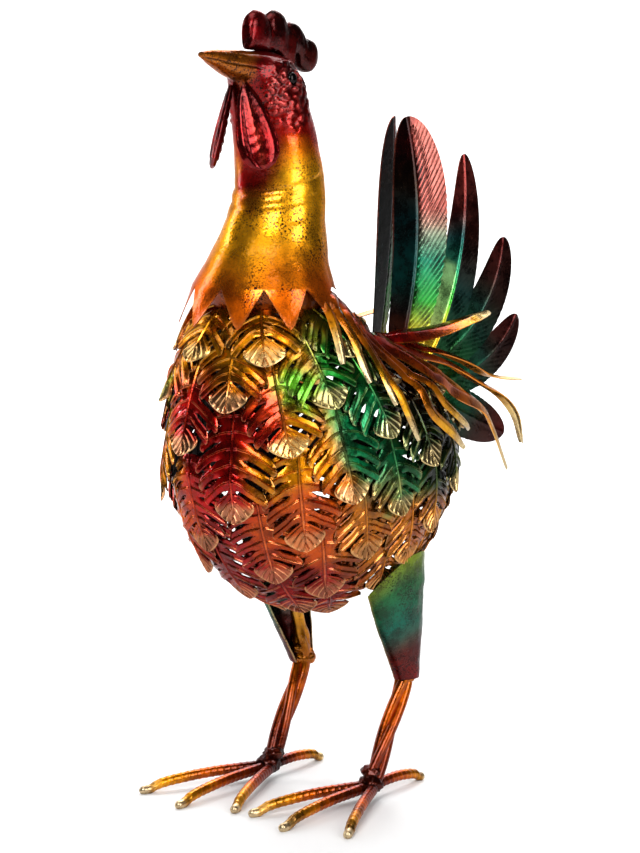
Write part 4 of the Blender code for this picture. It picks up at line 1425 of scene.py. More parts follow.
@dataclass
class Tail:
    """Two fans of five barbed feathers that bend upwards.

    A row of leans is for root, bend and tip. A pair of reliefs, calms, rims or folds is for the front
    and the rear half: the height of the barbs, the painted highlight where they are flat, the painted
    highlight along the edge and the rise from midrib to edge.
    """

    root: Pair = (0.0140, 0.0955)
    splay: float = math.radians(19)
    tilt: float = math.radians(2.7)
    leans: tuple[Point, ...] = (
        (-14, 15.5, -13), (69, 28.5, -5), (64, 66, 6), (92, 92, 27), (113, 119, 114)
    )
    bend: float = 0.2
    lengths: Floats = (0.2040, 0.1930, 0.1545, 0.1270, 0.1030)
    widths: Floats = (0.0530, 0.0392, 0.0375, 0.032, 0.038)
    widest: Floats = (0.62, 0.45, 0.50, 0.52, 0.55)
    tip_powers: Floats = (2.1, 1.4, 1.9, 2.0, 2.0)
    root_step: float = 0.0030
    root_rise: float = 0.0013
    root_height: float = 0.012
    stems: Floats = (0.026, 0.014, 0.012, 0.012, 0.012)
    reliefs: Pairs = ((0.0, 1.0), (0.03, 0.09), (0.02, 0.07), (0.02, 0.07), (0.02, 0.07))
    calms: Pairs = ((0.20, 0.5), (0.55, 0.50), (0.5, 0.5), (0.5, 0.5), (0.5, 0.5))
    rims: Pairs = ((0.9, 0.3), (0.6, 0.0), (0.0, 0.0), (0.0, 0.0), (0.0, 0.0))
    rim_start: float = 0.97
    layer: float = 0.0031
    thickness: float = 0.0010
    barb_pitch: float = 0.0062
    barb_slope: float = 1.45
    barb_height: float = 0.0010
    notches: Floats = (0.004, 0.004, 0.02, 0.02, 0.02)
    rib_width: float = 0.0013
    rib_heights: Floats = (0.0014, 0.0014, 0.0008, 0.0008, 0.0008)
    rib_lights: Floats = (0.7, 0.7, 0.45, 0.45, 0.45)
    folds: Pairs = ((0.20, 0.16), (0.12, -0.10), (0.06, -0.10), (0.04, -0.10), (0.04, -0.10))
    samples: int = 9
    columns: Floats = (
        0.002, 0.012, 0.05, 0.09, 0.16, 0.26, 0.37, 0.48, 0.59, 0.70, 0.80, 0.90, 0.96, 1.0
    )

    def half_width(self, share: Array, place: int) -> Array:
        """Return a feather's half width at shares of its length.

        Args:
            share: Shares of its length.
            place: Its number in the fan.

        Returns:
            The half widths.
        """
        width, widest = self.widths[place], self.widest[place]
        rise = lerp(self.stems[place], width, np.sin(math.pi / 2 * np.clip(share / widest, 0, 1))) / 2
        fall = np.clip((share - widest) / (1 - widest), 0, 1)
        tip = width / 2 * np.sqrt(np.clip(1 - fall ** self.tip_powers[place], 0, 1))
        return np.where(share < widest, rise, tip)

    def midline(self, place: int, fine: Array) -> tuple[Array, Array]:
        """Return the way that a midrib takes in its fan, and its lean there.

        Args:
            place: The feather's number in the fan.
            fine: Shares of its length, from 0 to 1.

        Returns:
            Distances back and up from the root, and the leans.
        """
        leans = np.radians(np.interp(fine, (0, self.bend, 1), self.leans[place]))
        middle = (leans[1:] + leans[:-1]) / 2
        pace = self.lengths[place] * np.diff(fine)
        steps = np.stack([np.sin(middle), np.cos(middle)], axis=1) * pace[:, None]
        return np.vstack([[0, 0], np.cumsum(steps, axis=0)]), leans

    def build(self, finishes: Sequence[Material]) -> None:
        """Add the feathers.

        Args:
            finishes: The lacquer of each feather, from the upright one down.
        """
        for place, finish in enumerate(finishes):
            name, node = f"fan_feather_{{}}_{place + 1}", f"tail_feather_{{}}_{place + 1}"
            add_pair(name, self.feather(place), finish, node, 40)

    def feather(self, place: int) -> Shape:
        """Return one feather, whose rows of points run along its barbs.

        Args:
            place: Its number in the fan.

        Returns:
            The closed feather.
        """
        back = np.array([math.sin(self.splay), math.cos(self.splay), 0])
        level = np.array([math.cos(self.splay), -math.sin(self.splay), 0])
        up = np.array([0, 0, math.cos(self.tilt)]) - level * math.sin(self.tilt)
        out = level * math.cos(self.tilt) + np.array([0, 0, math.sin(self.tilt)])
        root = np.array([*self.root, 0.0]) + back * (self.root_step * place) - out * (self.layer * place)
        stand = LEAF_LIFT + self.root_height / 2 + self.root_rise * place
        root[2] = FORM.height(root[0], root[1], 1) + stand
        length = self.lengths[place]
        fine = np.linspace(0, 1, 241)
        way, leans = self.midline(place, fine)
        barbs = round(length / self.barb_pitch)
        starts = np.linspace(0, 1, barbs * self.samples + 1)
        across = np.array([-column for column in self.columns[::-1]] + list(self.columns))
        start, cross = np.meshgrid(starts, across, indexing="ij")
        slope = self.barb_slope * smooth(0.0, 0.09, start) / length
        low, high = np.zeros_like(start), np.full_like(start, 0.05)
        for _ in range(30):
            middle = (low + high) / 2
            inside = middle < self.half_width(np.clip(start + middle * slope, 0, 1), place)
            low, high = np.where(inside, middle, low), np.where(inside, high, middle)
        half = low
        phase = (starts * barbs)[:, None] % 1.0
        kept = lerp(0.36, 0.84, smooth(0.0, 0.7, np.abs(cross)))
        barb = np.clip(np.sin(math.pi * np.clip(phase / kept, 0, 1)), 0, 1) ** 0.7
        barb = lerp(barb, 1.0, 0.9 * smooth(0.30, 0.62, np.abs(cross)) * smooth(0.45, 0.60, start))
        notch = np.where(np.abs(cross) > self.rim_start, 1 - self.notches[place] * (1 - barb), 1)
        offset = cross * half * notch
        share = np.clip(start + np.abs(offset) * slope, 0, 1)
        left, right = self.folds[place]
        fold = np.where(cross < 0, left, right) * np.abs(offset) * lerp(0.5, 1.0, share)
        rib = soft_ridge(offset, self.rib_width) * lerp(1.0, 0.5, share)
        fade = smooth(0.0012, 0.0035, np.abs(offset)) * smooth(0.0, 0.06, 1 - share)
        relief = np.where(cross < 0, *self.reliefs[place])
        calm = np.where(cross < 0, *self.calms[place])
        rise = self.rib_heights[place] * rib + self.barb_height * barb * fade * relief + fold
        lean = np.interp(share, fine, leans)
        along = np.stack([np.interp(share, fine, way[:, axis]) for axis in range(2)], axis=-1)
        run = along[..., 0] + np.cos(lean) * offset
        height = along[..., 1] - np.sin(lean) * offset
        points = root + back * run[..., None] + up * height[..., None] + out * rise[..., None]
        masks = np.zeros((*share.shape, 4))
        masks[..., 0] = self.light(place, cross, share)
        # The ridge mask paints a highlight on the barbs and the midrib and leaves the gaps between barbs to
        # painted shade.
        bright = np.maximum(rib * self.rib_lights[place], lerp(calm, barb * fade, relief))
        masks[..., 1] = np.clip(bright, 0, 1)
        # The edge mask paints a highlight along the feather's edges.
        rim = np.where(cross < 0, *self.rims[place])
        masks[..., 2] = np.where(np.abs(cross) > self.rim_start, rim, 0) * smooth(0.35, 0.6, share)
        masks[..., 3] = np.where(cross > 0, 0.54, 0.0) + 0.46 * share
        return Shape.grid(points, masks).welded().thickened(self.thickness)

    def light(self, place: int, cross: Array, share: Array) -> Array:
        """Return where a feather is pale: the first at its top, the second along its front edge.

        Args:
            place: Its number in the fan.
            cross: Places across it, from -1 to 1.
            share: Shares of its length.

        Returns:
            The mask of the pale colour.
        """
        if place == 0:
            return smooth(0.05, 0.3, cross) * smooth(0.52, 0.60, share)
        if place == 1:
            return smooth(0.02, 0.2, -cross) * smooth(0.14, 0.26, share) * smooth(0.60, 0.48, share)
        return np.zeros_like(share)


# ---- saddle


@dataclass
class Saddle:
    """The pleated sheets on the back, cut into strips.

    Each path leads from the ridge to a strip's tip, in millimetres. pales gives where a strip's tip
    begins to pale, heats where its colour stands at the root on the way from dark red to gold.
    """

    paths: tuple[tuple[Point, ...], ...] = (
        ((44, -66, 402), (54, -72, 390), (63, -74, 380), (72, -77, 364), (79, -80, 346)),
        ((46, -52, 396), (63, -64, 379), (74, -61, 362), (81, -61, 348), (88, -59, 331)),
        ((47, -40, 388), (64, -50, 370), (78, -41, 346), (90, -40, 327), (95, -36, 313)),
        ((48, -30, 380), (64, -42, 366), (80, -36, 340), (95, -24, 309), (100, -14, 285)),
        ((48, -20, 374), (62, -34, 362), (77, -4, 331), (94, 8, 305), (96, 36, 285), (89, 62, 270)),
        ((46, -10, 370), (58, -18, 358), (76, 10, 329), (90, 32, 308), (92, 58, 290), (86, 72, 283)),
        (
            (56, -8, 356), (63, 16, 343), (77, 36, 326), (77, 68, 311), (74.5, 108, 294),
            (72, 129, 272.5), (70, 151, 241),
        ),
        ((52, 4, 355), (56, 36, 340), (66, 62, 324), (72, 94, 303), (74, 110, 290)),
        (
            (48, 16, 354), (50, 44, 343), (53, 93, 328), (55, 127.5, 312), (57.4, 168, 293),
            (60, 180, 279), (62, 186, 256.5),
        ),
        ((45, 24, 353), (42, 74, 342), (46, 102, 334), (50, 126, 325), (53, 150, 314), (57, 191, 307)),
        ((44, 10, 357), (46, 30, 354), (48, 52, 354), (49, 88, 355.5), (49, 127, 360), (48, 157, 364)),
    )
    widths: Floats = (
        0.0090, 0.0092, 0.0080, 0.0084, 0.0096, 0.0080, 0.0160, 0.0086, 0.0160, 0.0176, 0.0176
    )
    pales: Floats = (0.30, 0.45, 0.62, 0.68, 0.72, 0.62, 0.66, 0.60, 0.62, 0.58, 0.66)
    heats: Floats = (0.40, 0.38, 0.34, 0.32, 0.30, 0.28, 0.28, 0.32, 0.24, 0.06, 0.04)
    fold: float = 0.0034
    fold_start: float = 0.16
    root_half_width: float = 0.008
    taper_shares: Floats = (0, 0.35, 0.55, 0.85, 0.97, 1.0)
    tapers: Floats = (0.9, 1, 1.0, 0.80, 0.55, 0.3)
    stations: int = 46
    profile: Floats = (-1.0, -0.86, -0.5, -0.14, 0.0, 0.14, 0.5, 0.86, 1.0)

    def path(self, number: float, along: Array) -> Array:
        """Return points of a strip's middle line.

        Args:
            number: The strip; a fraction lies between two strips.
            along: Shares of the way from the root to the tip.

        Returns:
            The points.
        """
        place = min(max(number, 0.0), len(self.paths) - 1.0)
        low = min(int(place), len(self.paths) - 2)
        lines = [self.curve(strip, along) for strip in (low, low + 1)]
        return lerp(lines[0], lines[1], place - low)

    def curve(self, strip: int, along: Array) -> Array:
        """Return points on the smooth curve through a strip's path, clear of the leaves.

        Args:
            strip: The strip's number.
            along: Shares of the way from the root to the tip.

        Returns:
            The points.
        """
        marks = np.array(self.paths[strip]) / PER_METRE
        run = run_along(marks)
        fine = np.asarray(along, float) * run[-1]
        points = np.stack([NeckAndHead.spline(run, marks[:, axis], fine) for axis in range(3)], axis=-1)
        return FORM.clear(points, OVER_LEAVES * lerp(0.75, 1.0, smooth(0.0, 0.25, along)))

    def strip(self, number: int) -> Shape:
        """Return one folded strip.

        Args:
            number: The strip's number.

        Returns:
            The closed strip.
        """
        shares = np.linspace(0, 1, self.stations) ** 0.9
        middle = self.path(number, shares)
        left, right = self.path(number - 0.5, shares), self.path(number + 0.5, shares)
        heading = unit(np.gradient(middle, axis=0))
        up = FORM.normal(middle)
        across = unit(np.cross(up, heading))
        up = np.cross(heading, across)
        spread = np.linalg.norm(right - left, axis=1) / 2
        taper = np.interp(shares, self.taper_shares, self.tapers)
        root = np.minimum(spread, self.root_half_width)
        half = lerp(root, self.widths[number] / 2 * taper, smooth(0.06, 0.30, shares))
        rows, masks = [], []
        for place, share in enumerate(shares):
            ring, marks = [], []
            for side in self.profile:
                height = self.fold * (1 - abs(side) ** 1.25) * lerp(1.0, 0.45, share)
                height = height * smooth(0.0, self.fold_start, share)
                point = middle[place] + across[place] * (side * half[place]) + up[place] * height
                ring.append(point)
                # The crest goes into the ridge mask as a painted highlight; the edge mask paints a highlight
                # along the strip's edges.
                crest = 1 - smooth(0.05, 0.35, abs(side))
                edge = 1.0 if abs(side) == 1 else 0.0
                pale = float(smooth(self.pales[number], 1.0, share))
                heat = lerp(self.heats[number], 1.0, share)
                marks.append((pale, float(crest), edge * 0.8 * (1 - pale), heat))
            rows.append(ring)
            masks.append(marks)
        return Shape.grid(np.array(rows), np.array(masks)).thickened(PRESSED_SHEET)

    def build(self, finish: Material) -> None:
        """Add the saddle on both sides.

        Args:
            finish: The strips' lacquer.
        """
        shape = Shape()
        for number in range(len(self.paths)):
            shape.join(self.strip(number))
        add_pair("saddle_strips_{}", shape, finish, "saddle_feathers_{}", 45)


# ---- legs and feet


@dataclass
class Legs:
    """The twisted shanks, the welds and the ribbed toes."""

    stance: float = 0.050
    foot_y: float = -0.004
    top_y: float = 0.026
    hock_back: float = 0.043
    hock_height: float = 0.090
    hock_bend: float = 0.012
    rod: float = 0.0041
    rod_orbit: float = 0.0036
    twist_pitch: float = 0.17
    shank_radius: float = 0.0076
    toe_height: float = 0.0100
    toe_rest: float = 0.0028
    toe_radius: float = 0.0042
    toe_offset: float = 0.0040
    toes: tuple[tuple[str, float, float, float], ...] = (
        ("inner", -21.5, 0.0072, 0.105),
        ("middle", 0.0, 0.0072, 0.114),
        ("outer", 25.0, 0.0072, 0.109),
        ("hind", 180.0, 0.0100, 0.070),
    )
    toe_profile: tuple[Point, ...] = (
        (0.0, 0.0, 1.0), (0.30, -0.05, 1.0), (0.62, 0.15, 1.0), (0.84, 0.55, 0.96), (0.93, 1.0, 0.9),
        (1.0, 1.0, 0.78),
    )
    toe_stations: int = 132
    toe_sides: int = 20
    toe_rib_pitch: float = 0.0058
    toe_rib_width: float = 0.15
    toe_rib_shift: float = 0.0021
    rod_sides: int = 16
    hock_run: Pair = (0.108, 0.122)
    underside_lift: float = 1.45

    def shank_line(self) -> Array:
        """Return the middle line of the left shank.

        Returns:
            Points from the foot to the body.
        """
        foot = np.array([self.stance, self.foot_y, self.toe_height])
        hock = np.array([self.stance, self.hock_back, self.hock_height])
        lift = self.underside_lift * (LEAF_LIFT + RIB_HEIGHT)
        height = FORM.height(self.stance, self.top_y, -1) - lift
        top = np.array([self.stance, self.top_y, height - self.shank_radius])
        start = hock - unit(hock - foot) * self.hock_bend
        end = hock + unit(top - hock) * self.hock_bend
        climb = [lerp(foot, start, share) for share in np.linspace(0, 1, 42)[:-1]]
        bend = [
            lerp(lerp(start, hock, share), lerp(hock, end, share), share) for share in np.linspace(0, 1, 12)
        ]
        rise = [lerp(end, top, share) for share in np.linspace(0, 1, 26)[1:]]
        return np.array(climb + bend + rise)

    def bundle(self) -> Shape:
        """Return the rods of the left shank, wound round each other.

        Returns:
            The closed rods.
        """
        line = self.shank_line()
        run = run_along(line)
        along = unit(np.gradient(line, axis=0))
        side = np.repeat(np.array([[1.0, 0, 0]]), len(line), 0)
        front = np.cross(along, side)
        above = smooth(*self.hock_run, run)
        shape = Shape()
        for rod in range(3):
            turn = 2 * math.pi * (run / self.twist_pitch + rod / 3)
            orbit = self.rod_orbit * lerp(1.0, 0.35, above)
            centre = line + side * (orbit * np.cos(turn))[:, None] + front * (orbit * np.sin(turn))[:, None]
            radius = np.full(len(line), self.rod)
            shape.join(self.tube(centre, side, front, radius, run / run[-1], self.rod_sides))
        return shape

    @staticmethod
    def tube(
        centre: Array, side: Array, front: Array, radius: Array, along: Array, sides: int,
        ribs: Array | None = None,
    ) -> Shape:
        """Return a round bar.

        Args:
            centre: Its middle line.
            side: One direction across it at each point.
            front: The other direction across it.
            radius: Its radius at each point.
            along: Its mask along the line.
            sides: How many sides it has.
            ribs: The ridge mask at each point and side.

        Returns:
            The closed bar.
        """
        angles = 2 * math.pi * np.arange(sides) / sides
        round_side, round_front = np.cos(angles), np.sin(angles)
        out = side[:, None] * round_side[None, :, None] + front[:, None] * round_front[None, :, None]
        points = centre[:, None] + out * np.asarray(radius).reshape(len(centre), -1, 1)
        masks = np.zeros((*points.shape[:2], 4))
        masks[..., 3] = np.asarray(along)[:, None]
        # Without ribs, the ridge mask rises on the bar's outer side: a painted highlight there, with less
        # painted shade.
        masks[..., 1] = ribs if ribs is not None else np.clip(0.5 * out[..., 0], 0, 1) * 0.4
        return Shape.grid(points, masks, wrap=True, caps=True)

    def weld(self, middle: Array, radii: Point, seed: int, share: float) -> Shape:
        """Return a lumpy bead of weld.

        Args:
            middle: Its middle.
            radii: Its three radii.
            seed: What makes its lumps differ.
            share: Its mask along the leg.

        Returns:
            The closed bead.
        """
        rows, masks = [], []
        rings, sides = 17, 28
        for row in range(1, rings):
            polar = math.pi * row / rings
            ring, marks = [], []
            for step in range(sides):
                turn = 2 * math.pi * step / sides
                out = np.array(
                    [math.sin(polar) * math.cos(turn), math.sin(polar) * math.sin(turn), math.cos(polar)]
                )
                lump = noise.noise(Vector(out * 2.3 + seed)) + 0.5 * noise.noise(Vector(out * 5.1 + seed))
                ring.append(np.array(middle) + out * np.array(radii) * (1 + 0.20 * lump))
                # The ridge mask paints a highlight on the bead's lumps.
                marks.append((0, max(0.0, lump) * 0.6, 0, share))
            rows.append(ring)
            masks.append(marks)
        return Shape.grid(np.array(rows), np.array(masks, float), wrap=True, caps=True)

    def toe(self, angle: float, start: float, end: float, hooks: float = 0.0) -> Shape:
        """Return one ribbed toe of the left foot.

        Args:
            angle: Its angle from straight ahead in degrees.
            start: How far out it begins.
            end: How far out it ends.
            hooks: The phase of its ribs.

        Returns:
            The closed toe.
        """
        turn = math.radians(angle)
        heading = np.array([math.sin(turn), -math.cos(turn), 0])
        across = np.array([math.cos(turn), math.sin(turn), 0])
        sideways = 0.0 if abs(heading[0]) < 1e-6 else math.copysign(self.toe_offset, heading[0])
        base = np.array([self.stance + sideways, self.foot_y, 0])
        table = np.array(self.toe_profile)
        shares = np.linspace(0, 1, self.toe_stations)
        run = table[:, 0]
        drop = NeckAndHead.spline(run, table[:, 1], shares)
        rounding = np.sqrt(np.clip(1 - ((shares - 0.965) / 0.036).clip(0, 1) ** 2, 0.02, 1))
        bulk = np.interp(shares, run, table[:, 2]) * rounding
        height = lerp(self.toe_height, self.toe_rest, drop)
        reach = lerp(start, end, shares)
        centre = base + heading * reach[:, None]
        centre[:, 2] = height
        angles = 2 * math.pi * np.arange(self.toe_sides) / self.toe_sides
        phase = (reach[:, None] + 0.0011 * np.sin(angles)[None] + hooks) / self.toe_rib_pitch
        rib = soft_ridge((phase % 1) - 0.5, self.toe_rib_width) * (1 - smooth(0.9, 0.97, shares))[:, None]
        radius = self.toe_radius * bulk[:, None] * (0.95 + 0.07 * rib)
        along = np.repeat(across[None], len(shares), 0)
        up = np.repeat(np.array([[0, 0, 1.0]]), len(shares), 0)
        # The ribs go into the ridge mask: a painted highlight on each rib.
        shape = self.tube(centre, along, up, radius, shares, self.toe_sides, rib * 0.5)
        shape.points[:, 2] = np.maximum(shape.points[:, 2], 0.0)
        shape.masks[:, 0] = smooth(0.86, 0.99, shape.masks[:, 3])
        return shape

    def build(self, finish: Material) -> None:
        """Add the shanks, their welds and the toes.

        Args:
            finish: The legs' lacquer.
        """
        foot = np.array([self.stance, self.foot_y, self.toe_height + 0.002])
        hock = np.array([self.stance, self.hock_back, self.hock_height])
        shank = self.bundle()
        shank.join(self.weld(foot, (0.0092, 0.0098, 0.0078), 3, 0.0))
        shank.join(self.weld(foot + (-0.002, 0.004, 0.0075), (0.0082, 0.0080, 0.006), 5, 0.02))
        shank.join(self.weld(hock, (0.0088, 0.0090, 0.0072), 7, 0.62))
        shank.join(self.weld(hock + (0.001, -0.003, 0.008), (0.0072, 0.0075, 0.0062), 9, 0.66))
        add_pair("twisted_shank_{}", shank, finish, "shank_{}", 60)
        for number, (name, angle, start, end) in enumerate(self.toes):
            bar = self.toe(angle, start, end, number * self.toe_rib_shift)
            add_pair(f"ribbed_toe_{{}}_{name}", bar, finish, f"toe_{{}}_{name}", 60)


@dataclass
class Thighs:
    """The half-cone sheets round the tops of the legs."""

    foot: Point = (0.050, 0.041, 0.088)
    foot_radius: float = 0.0102
    top_middle: Pair = (0.056, 0.018)
    top_radii: Pair = (0.017, 0.031)
    wrap: float = math.radians(200)
    underside_lift: float = 1.2
    dent_depth: float = 0.0009
    bulge: float = 0.0011
    thickness: float = 0.0010
    rows: int = 54
    columns: int = 49

    def build(self, finish: Material) -> None:
        """Add both thighs.

        Args:
            finish: The thighs' lacquer.
        """
        rows, masks = [], []
        lift = self.underside_lift * (LEAF_LIFT + RIB_HEIGHT)
        for share in np.linspace(0, 1, self.rows):
            ring, marks = [], []
            for step in np.linspace(-0.5, 0.5, self.columns):
                angle = self.wrap * step
                out = np.array([math.cos(angle), -math.sin(angle), 0])
                low = np.array(self.foot) + out * self.foot_radius
                x = self.top_middle[0] + out[0] * self.top_radii[0]
                y = self.top_middle[1] + out[1] * self.top_radii[1]
                top = np.array([x, y, FORM.height(x, y, -1) - lift])
                point = lerp(low, top, share)
                dent = noise.noise(Vector(point * 60)) + 0.5 * noise.noise(Vector(point * 140))
                push = self.dent_depth * dent + self.bulge * math.sin(math.pi * share)
                ring.append(point + out * push)
                # The ridge mask paints a highlight on the dents' bulges, the edge mask a highlight along the
                # sheet's edges.
                marks.append((0, max(0.0, dent) * 0.35, float(smooth(0.47, 0.5, abs(step))), share))
            rows.append(ring)
            masks.append(marks)
        shape = Shape.grid(np.array(rows), np.array(masks))
        shape = shape.facing_out(len(shape.points) // 2).thickened(self.thickness)
        add_pair("thigh_cone_{}", shape, finish, "thigh_{}", 50)


# ---- stage


@dataclass(frozen=True)
class Lamp:
    """A soft light that looks at a target. Its angles are in degrees and its power is in watts."""

    name: str
    azimuth: float
    elevation: float
    distance: float
    size: Pair
    power: float
    target: Point = (0, 0, 0.3)

    def add(self) -> None:
        """Add the light to the scene."""
        lamp = bpy.data.lights.new(self.name, "AREA")
        lamp.energy = self.power
        lamp.shape = "RECTANGLE"
        lamp.size, lamp.size_y = self.size
        holder = bpy.data.objects.new(self.name, lamp)
        bpy.context.scene.collection.objects.link(holder)
        turn, rise = math.radians(self.azimuth), math.radians(self.elevation)
        out = Vector((math.sin(turn) * math.cos(rise), -math.cos(turn) * math.cos(rise), math.sin(rise)))
        holder.location = Vector(self.target) + out * self.distance
        holder.rotation_euler = (-out).to_track_quat("-Z", "Y").to_euler()


@dataclass
class Studio:
    """The floor, the lights and the camera."""

    azimuth: float = math.radians(37)
    distance: float = 2.0
    height: float = 0.560
    pitch: float = math.radians(7.82)
    lens: float = 110.66
    shift: float = -2 / 853
    floor_near: float = -3.0
    floor_far: float = 2.2
    floor_bend: float = 1.2
    floor_top: float = 4.0
    floor_half_width: float = 5.0
    wall_reach: float = 3.3
    wall_height: float = 0.7
    lamps: tuple[Lamp, ...] = (
        Lamp("key", 84, 20, 2.0, (0.7, 1.5), 24),
        Lamp("front", 24, 32, 2.2, (1.1, 0.8), 30),
        Lamp("left", -80, 16, 2.2, (0.35, 1.4), 13),
        Lamp("top", 10, 80, 2.0, (1.4, 1.4), 18),
        Lamp("back", 205, 35, 2.4, (1.2, 1.2), 24),
    )

    def floor(self) -> None:
        """Add the pale floor, which curves up into a backdrop."""
        rows = []
        for share in np.linspace(0, 1, 40):
            if share < 0.5:
                rows.append((lerp(self.floor_near, self.floor_far, share * 2), 0.0))
            else:
                angle = (share - 0.5) * math.pi
                reach = self.floor_far + self.floor_bend * math.sin(angle)
                rows.append((reach, self.floor_bend * (1 - math.cos(angle))))
        rows.append((self.floor_far + self.floor_bend, self.floor_top))
        heading = np.array([-math.sin(self.azimuth), math.cos(self.azimuth), 0])
        across = np.array([math.cos(self.azimuth), math.sin(self.azimuth), 0])
        widths = np.linspace(-self.floor_half_width, self.floor_half_width, 3)
        grid = np.array(
            [[heading * reach + across * wide + (0, 0, rise) for wide in widths] for reach, rise in rows]
        )
        shape = Shape.grid(grid, np.zeros((*grid.shape[:2], 4)))
        mesh = bpy.data.meshes.new("studio_floor")
        mesh.from_pydata(shape.points.tolist(), [], shape.faces)
        mesh.shade_smooth()
        graph = Graph("pale_floor")
        place = graph.node("TexCoord", {}, "Object")
        tone = graph.noise(3.0, 2.0, place)
        colour = graph.mix(tone, (0.78, 0.78, 0.78), (0.82, 0.82, 0.82))
        graph.feed(graph.shader.inputs["Base Color"], colour)
        graph.shader.inputs["Roughness"].default_value = 0.7
        mesh.materials.append(graph.material)
        floor = bpy.data.objects.new("studio_floor", mesh)
        bpy.context.scene.collection.objects.link(floor)

    def camera(self) -> None:
        """Add the camera at the photograph's viewing angle."""
        lens = bpy.data.cameras.new("camera")
        lens.sensor_fit = "AUTO"
        lens.sensor_width = 36.0
        lens.lens = self.lens
        lens.clip_end = 20.0
        camera = bpy.data.objects.new("camera", lens)
        bpy.context.scene.collection.objects.link(camera)
        camera.location = (
            math.sin(self.azimuth) * self.distance,
            -math.cos(self.azimuth) * self.distance + HUB_Y,
            self.height,
        )
        camera.rotation_euler = (math.pi / 2 - self.pitch, 0, self.azimuth)
        lens.shift_x = self.shift
        bpy.context.scene.camera = camera

    def build(self) -> None:
        """Add all of the stage."""
        self.camera()
        self.floor()
        for lamp in self.lamps:
            lamp.add()
        heading = (-math.sin(self.azimuth), math.cos(self.azimuth))
        wall = (heading[0] * self.wall_reach, heading[1] * self.wall_reach, self.wall_height)
        Lamp("backdrop", 37, 50, 2.4, (2.5, 1.0), 130, wall).add()
        world = bpy.data.worlds.new("studio_air")
        world.use_nodes = True
        air = world.node_tree.nodes["Background"].inputs
        air["Color"].default_value = (0.93, 0.96, 1.0, 1.0)
        air["Strength"].default_value = 0.05
        bpy.context.scene.world = world
        bpy.context.scene.view_settings.view_transform = "Standard"


# ---- the finishes of this bird


def leaf_lacquer() -> Lacquer:
    """Return the leaves' finish, sprayed in zones from red through gold to green and teal."""
    rust = srgb(244, 84, 34)
    return Lacquer(
        "leaf_lacquer",
        base=srgb(200, 112, 8),
        zones=(
            Zone((0.000, -0.150, 0.335), 0.056, rust, 0.35),
            Zone((0.000, -0.155, 0.262), 0.070, RED, 0.3),
            Zone((0.000, -0.085, 0.165), 0.080, srgb(158, 12, 14), 0.3),
            Zone((0.060, -0.110, 0.225), 0.036, srgb(214, 84, 6), 0.4),
            Zone((0.018, -0.120, 0.372), 0.046, GOLD, 0.3),
            Zone((0.064, -0.122, 0.280), 0.030, GOLD, 0.35),
            Zone((0.090, -0.060, 0.350), 0.052, GREEN, 0.35),
            Zone((0.060, -0.118, 0.325), 0.020, LIME, 0.5),
            Zone((0.098, -0.055, 0.290), 0.040, TEAL, 0.35),
            Zone((0.100, -0.012, 0.262), 0.036, TEAL, 0.4),
            Zone((0.094, 0.045, 0.300), 0.072, DARK_GREEN, 0.3),
            Zone((0.030, 0.080, 0.300), 0.080, DARK_GREEN, 0.3),
            Zone((0.030, 0.010, 0.380), 0.060, DARK_GREEN, 0.3),
            Zone((-0.088, -0.092, 0.345), 0.046, srgb(232, 112, 14), 0.3, both=False),
            Zone((-0.086, -0.084, 0.270), 0.050, srgb(196, 20, 10), 0.35, both=False),
            # These two near-black patches are painted shadow of the saddle strips on the leaves under them.
            Zone((0.074, -0.004, 0.335), 0.036, srgb(34, 28, 10), 0.4),
            Zone((0.070, 0.060, 0.305), 0.042, srgb(36, 44, 12), 0.4),
        ),
        tip=srgb(230, 196, 140),
        tip_strength=0.75,
        tip_fade=(0.19, 0.27, 0.3),
        valley_shade_strength=0.85,
        ridge_highlight_strength=0.6,
        dirt_and_shade_strength=0.6,
        wash=srgb(36, 14, 5),
    )


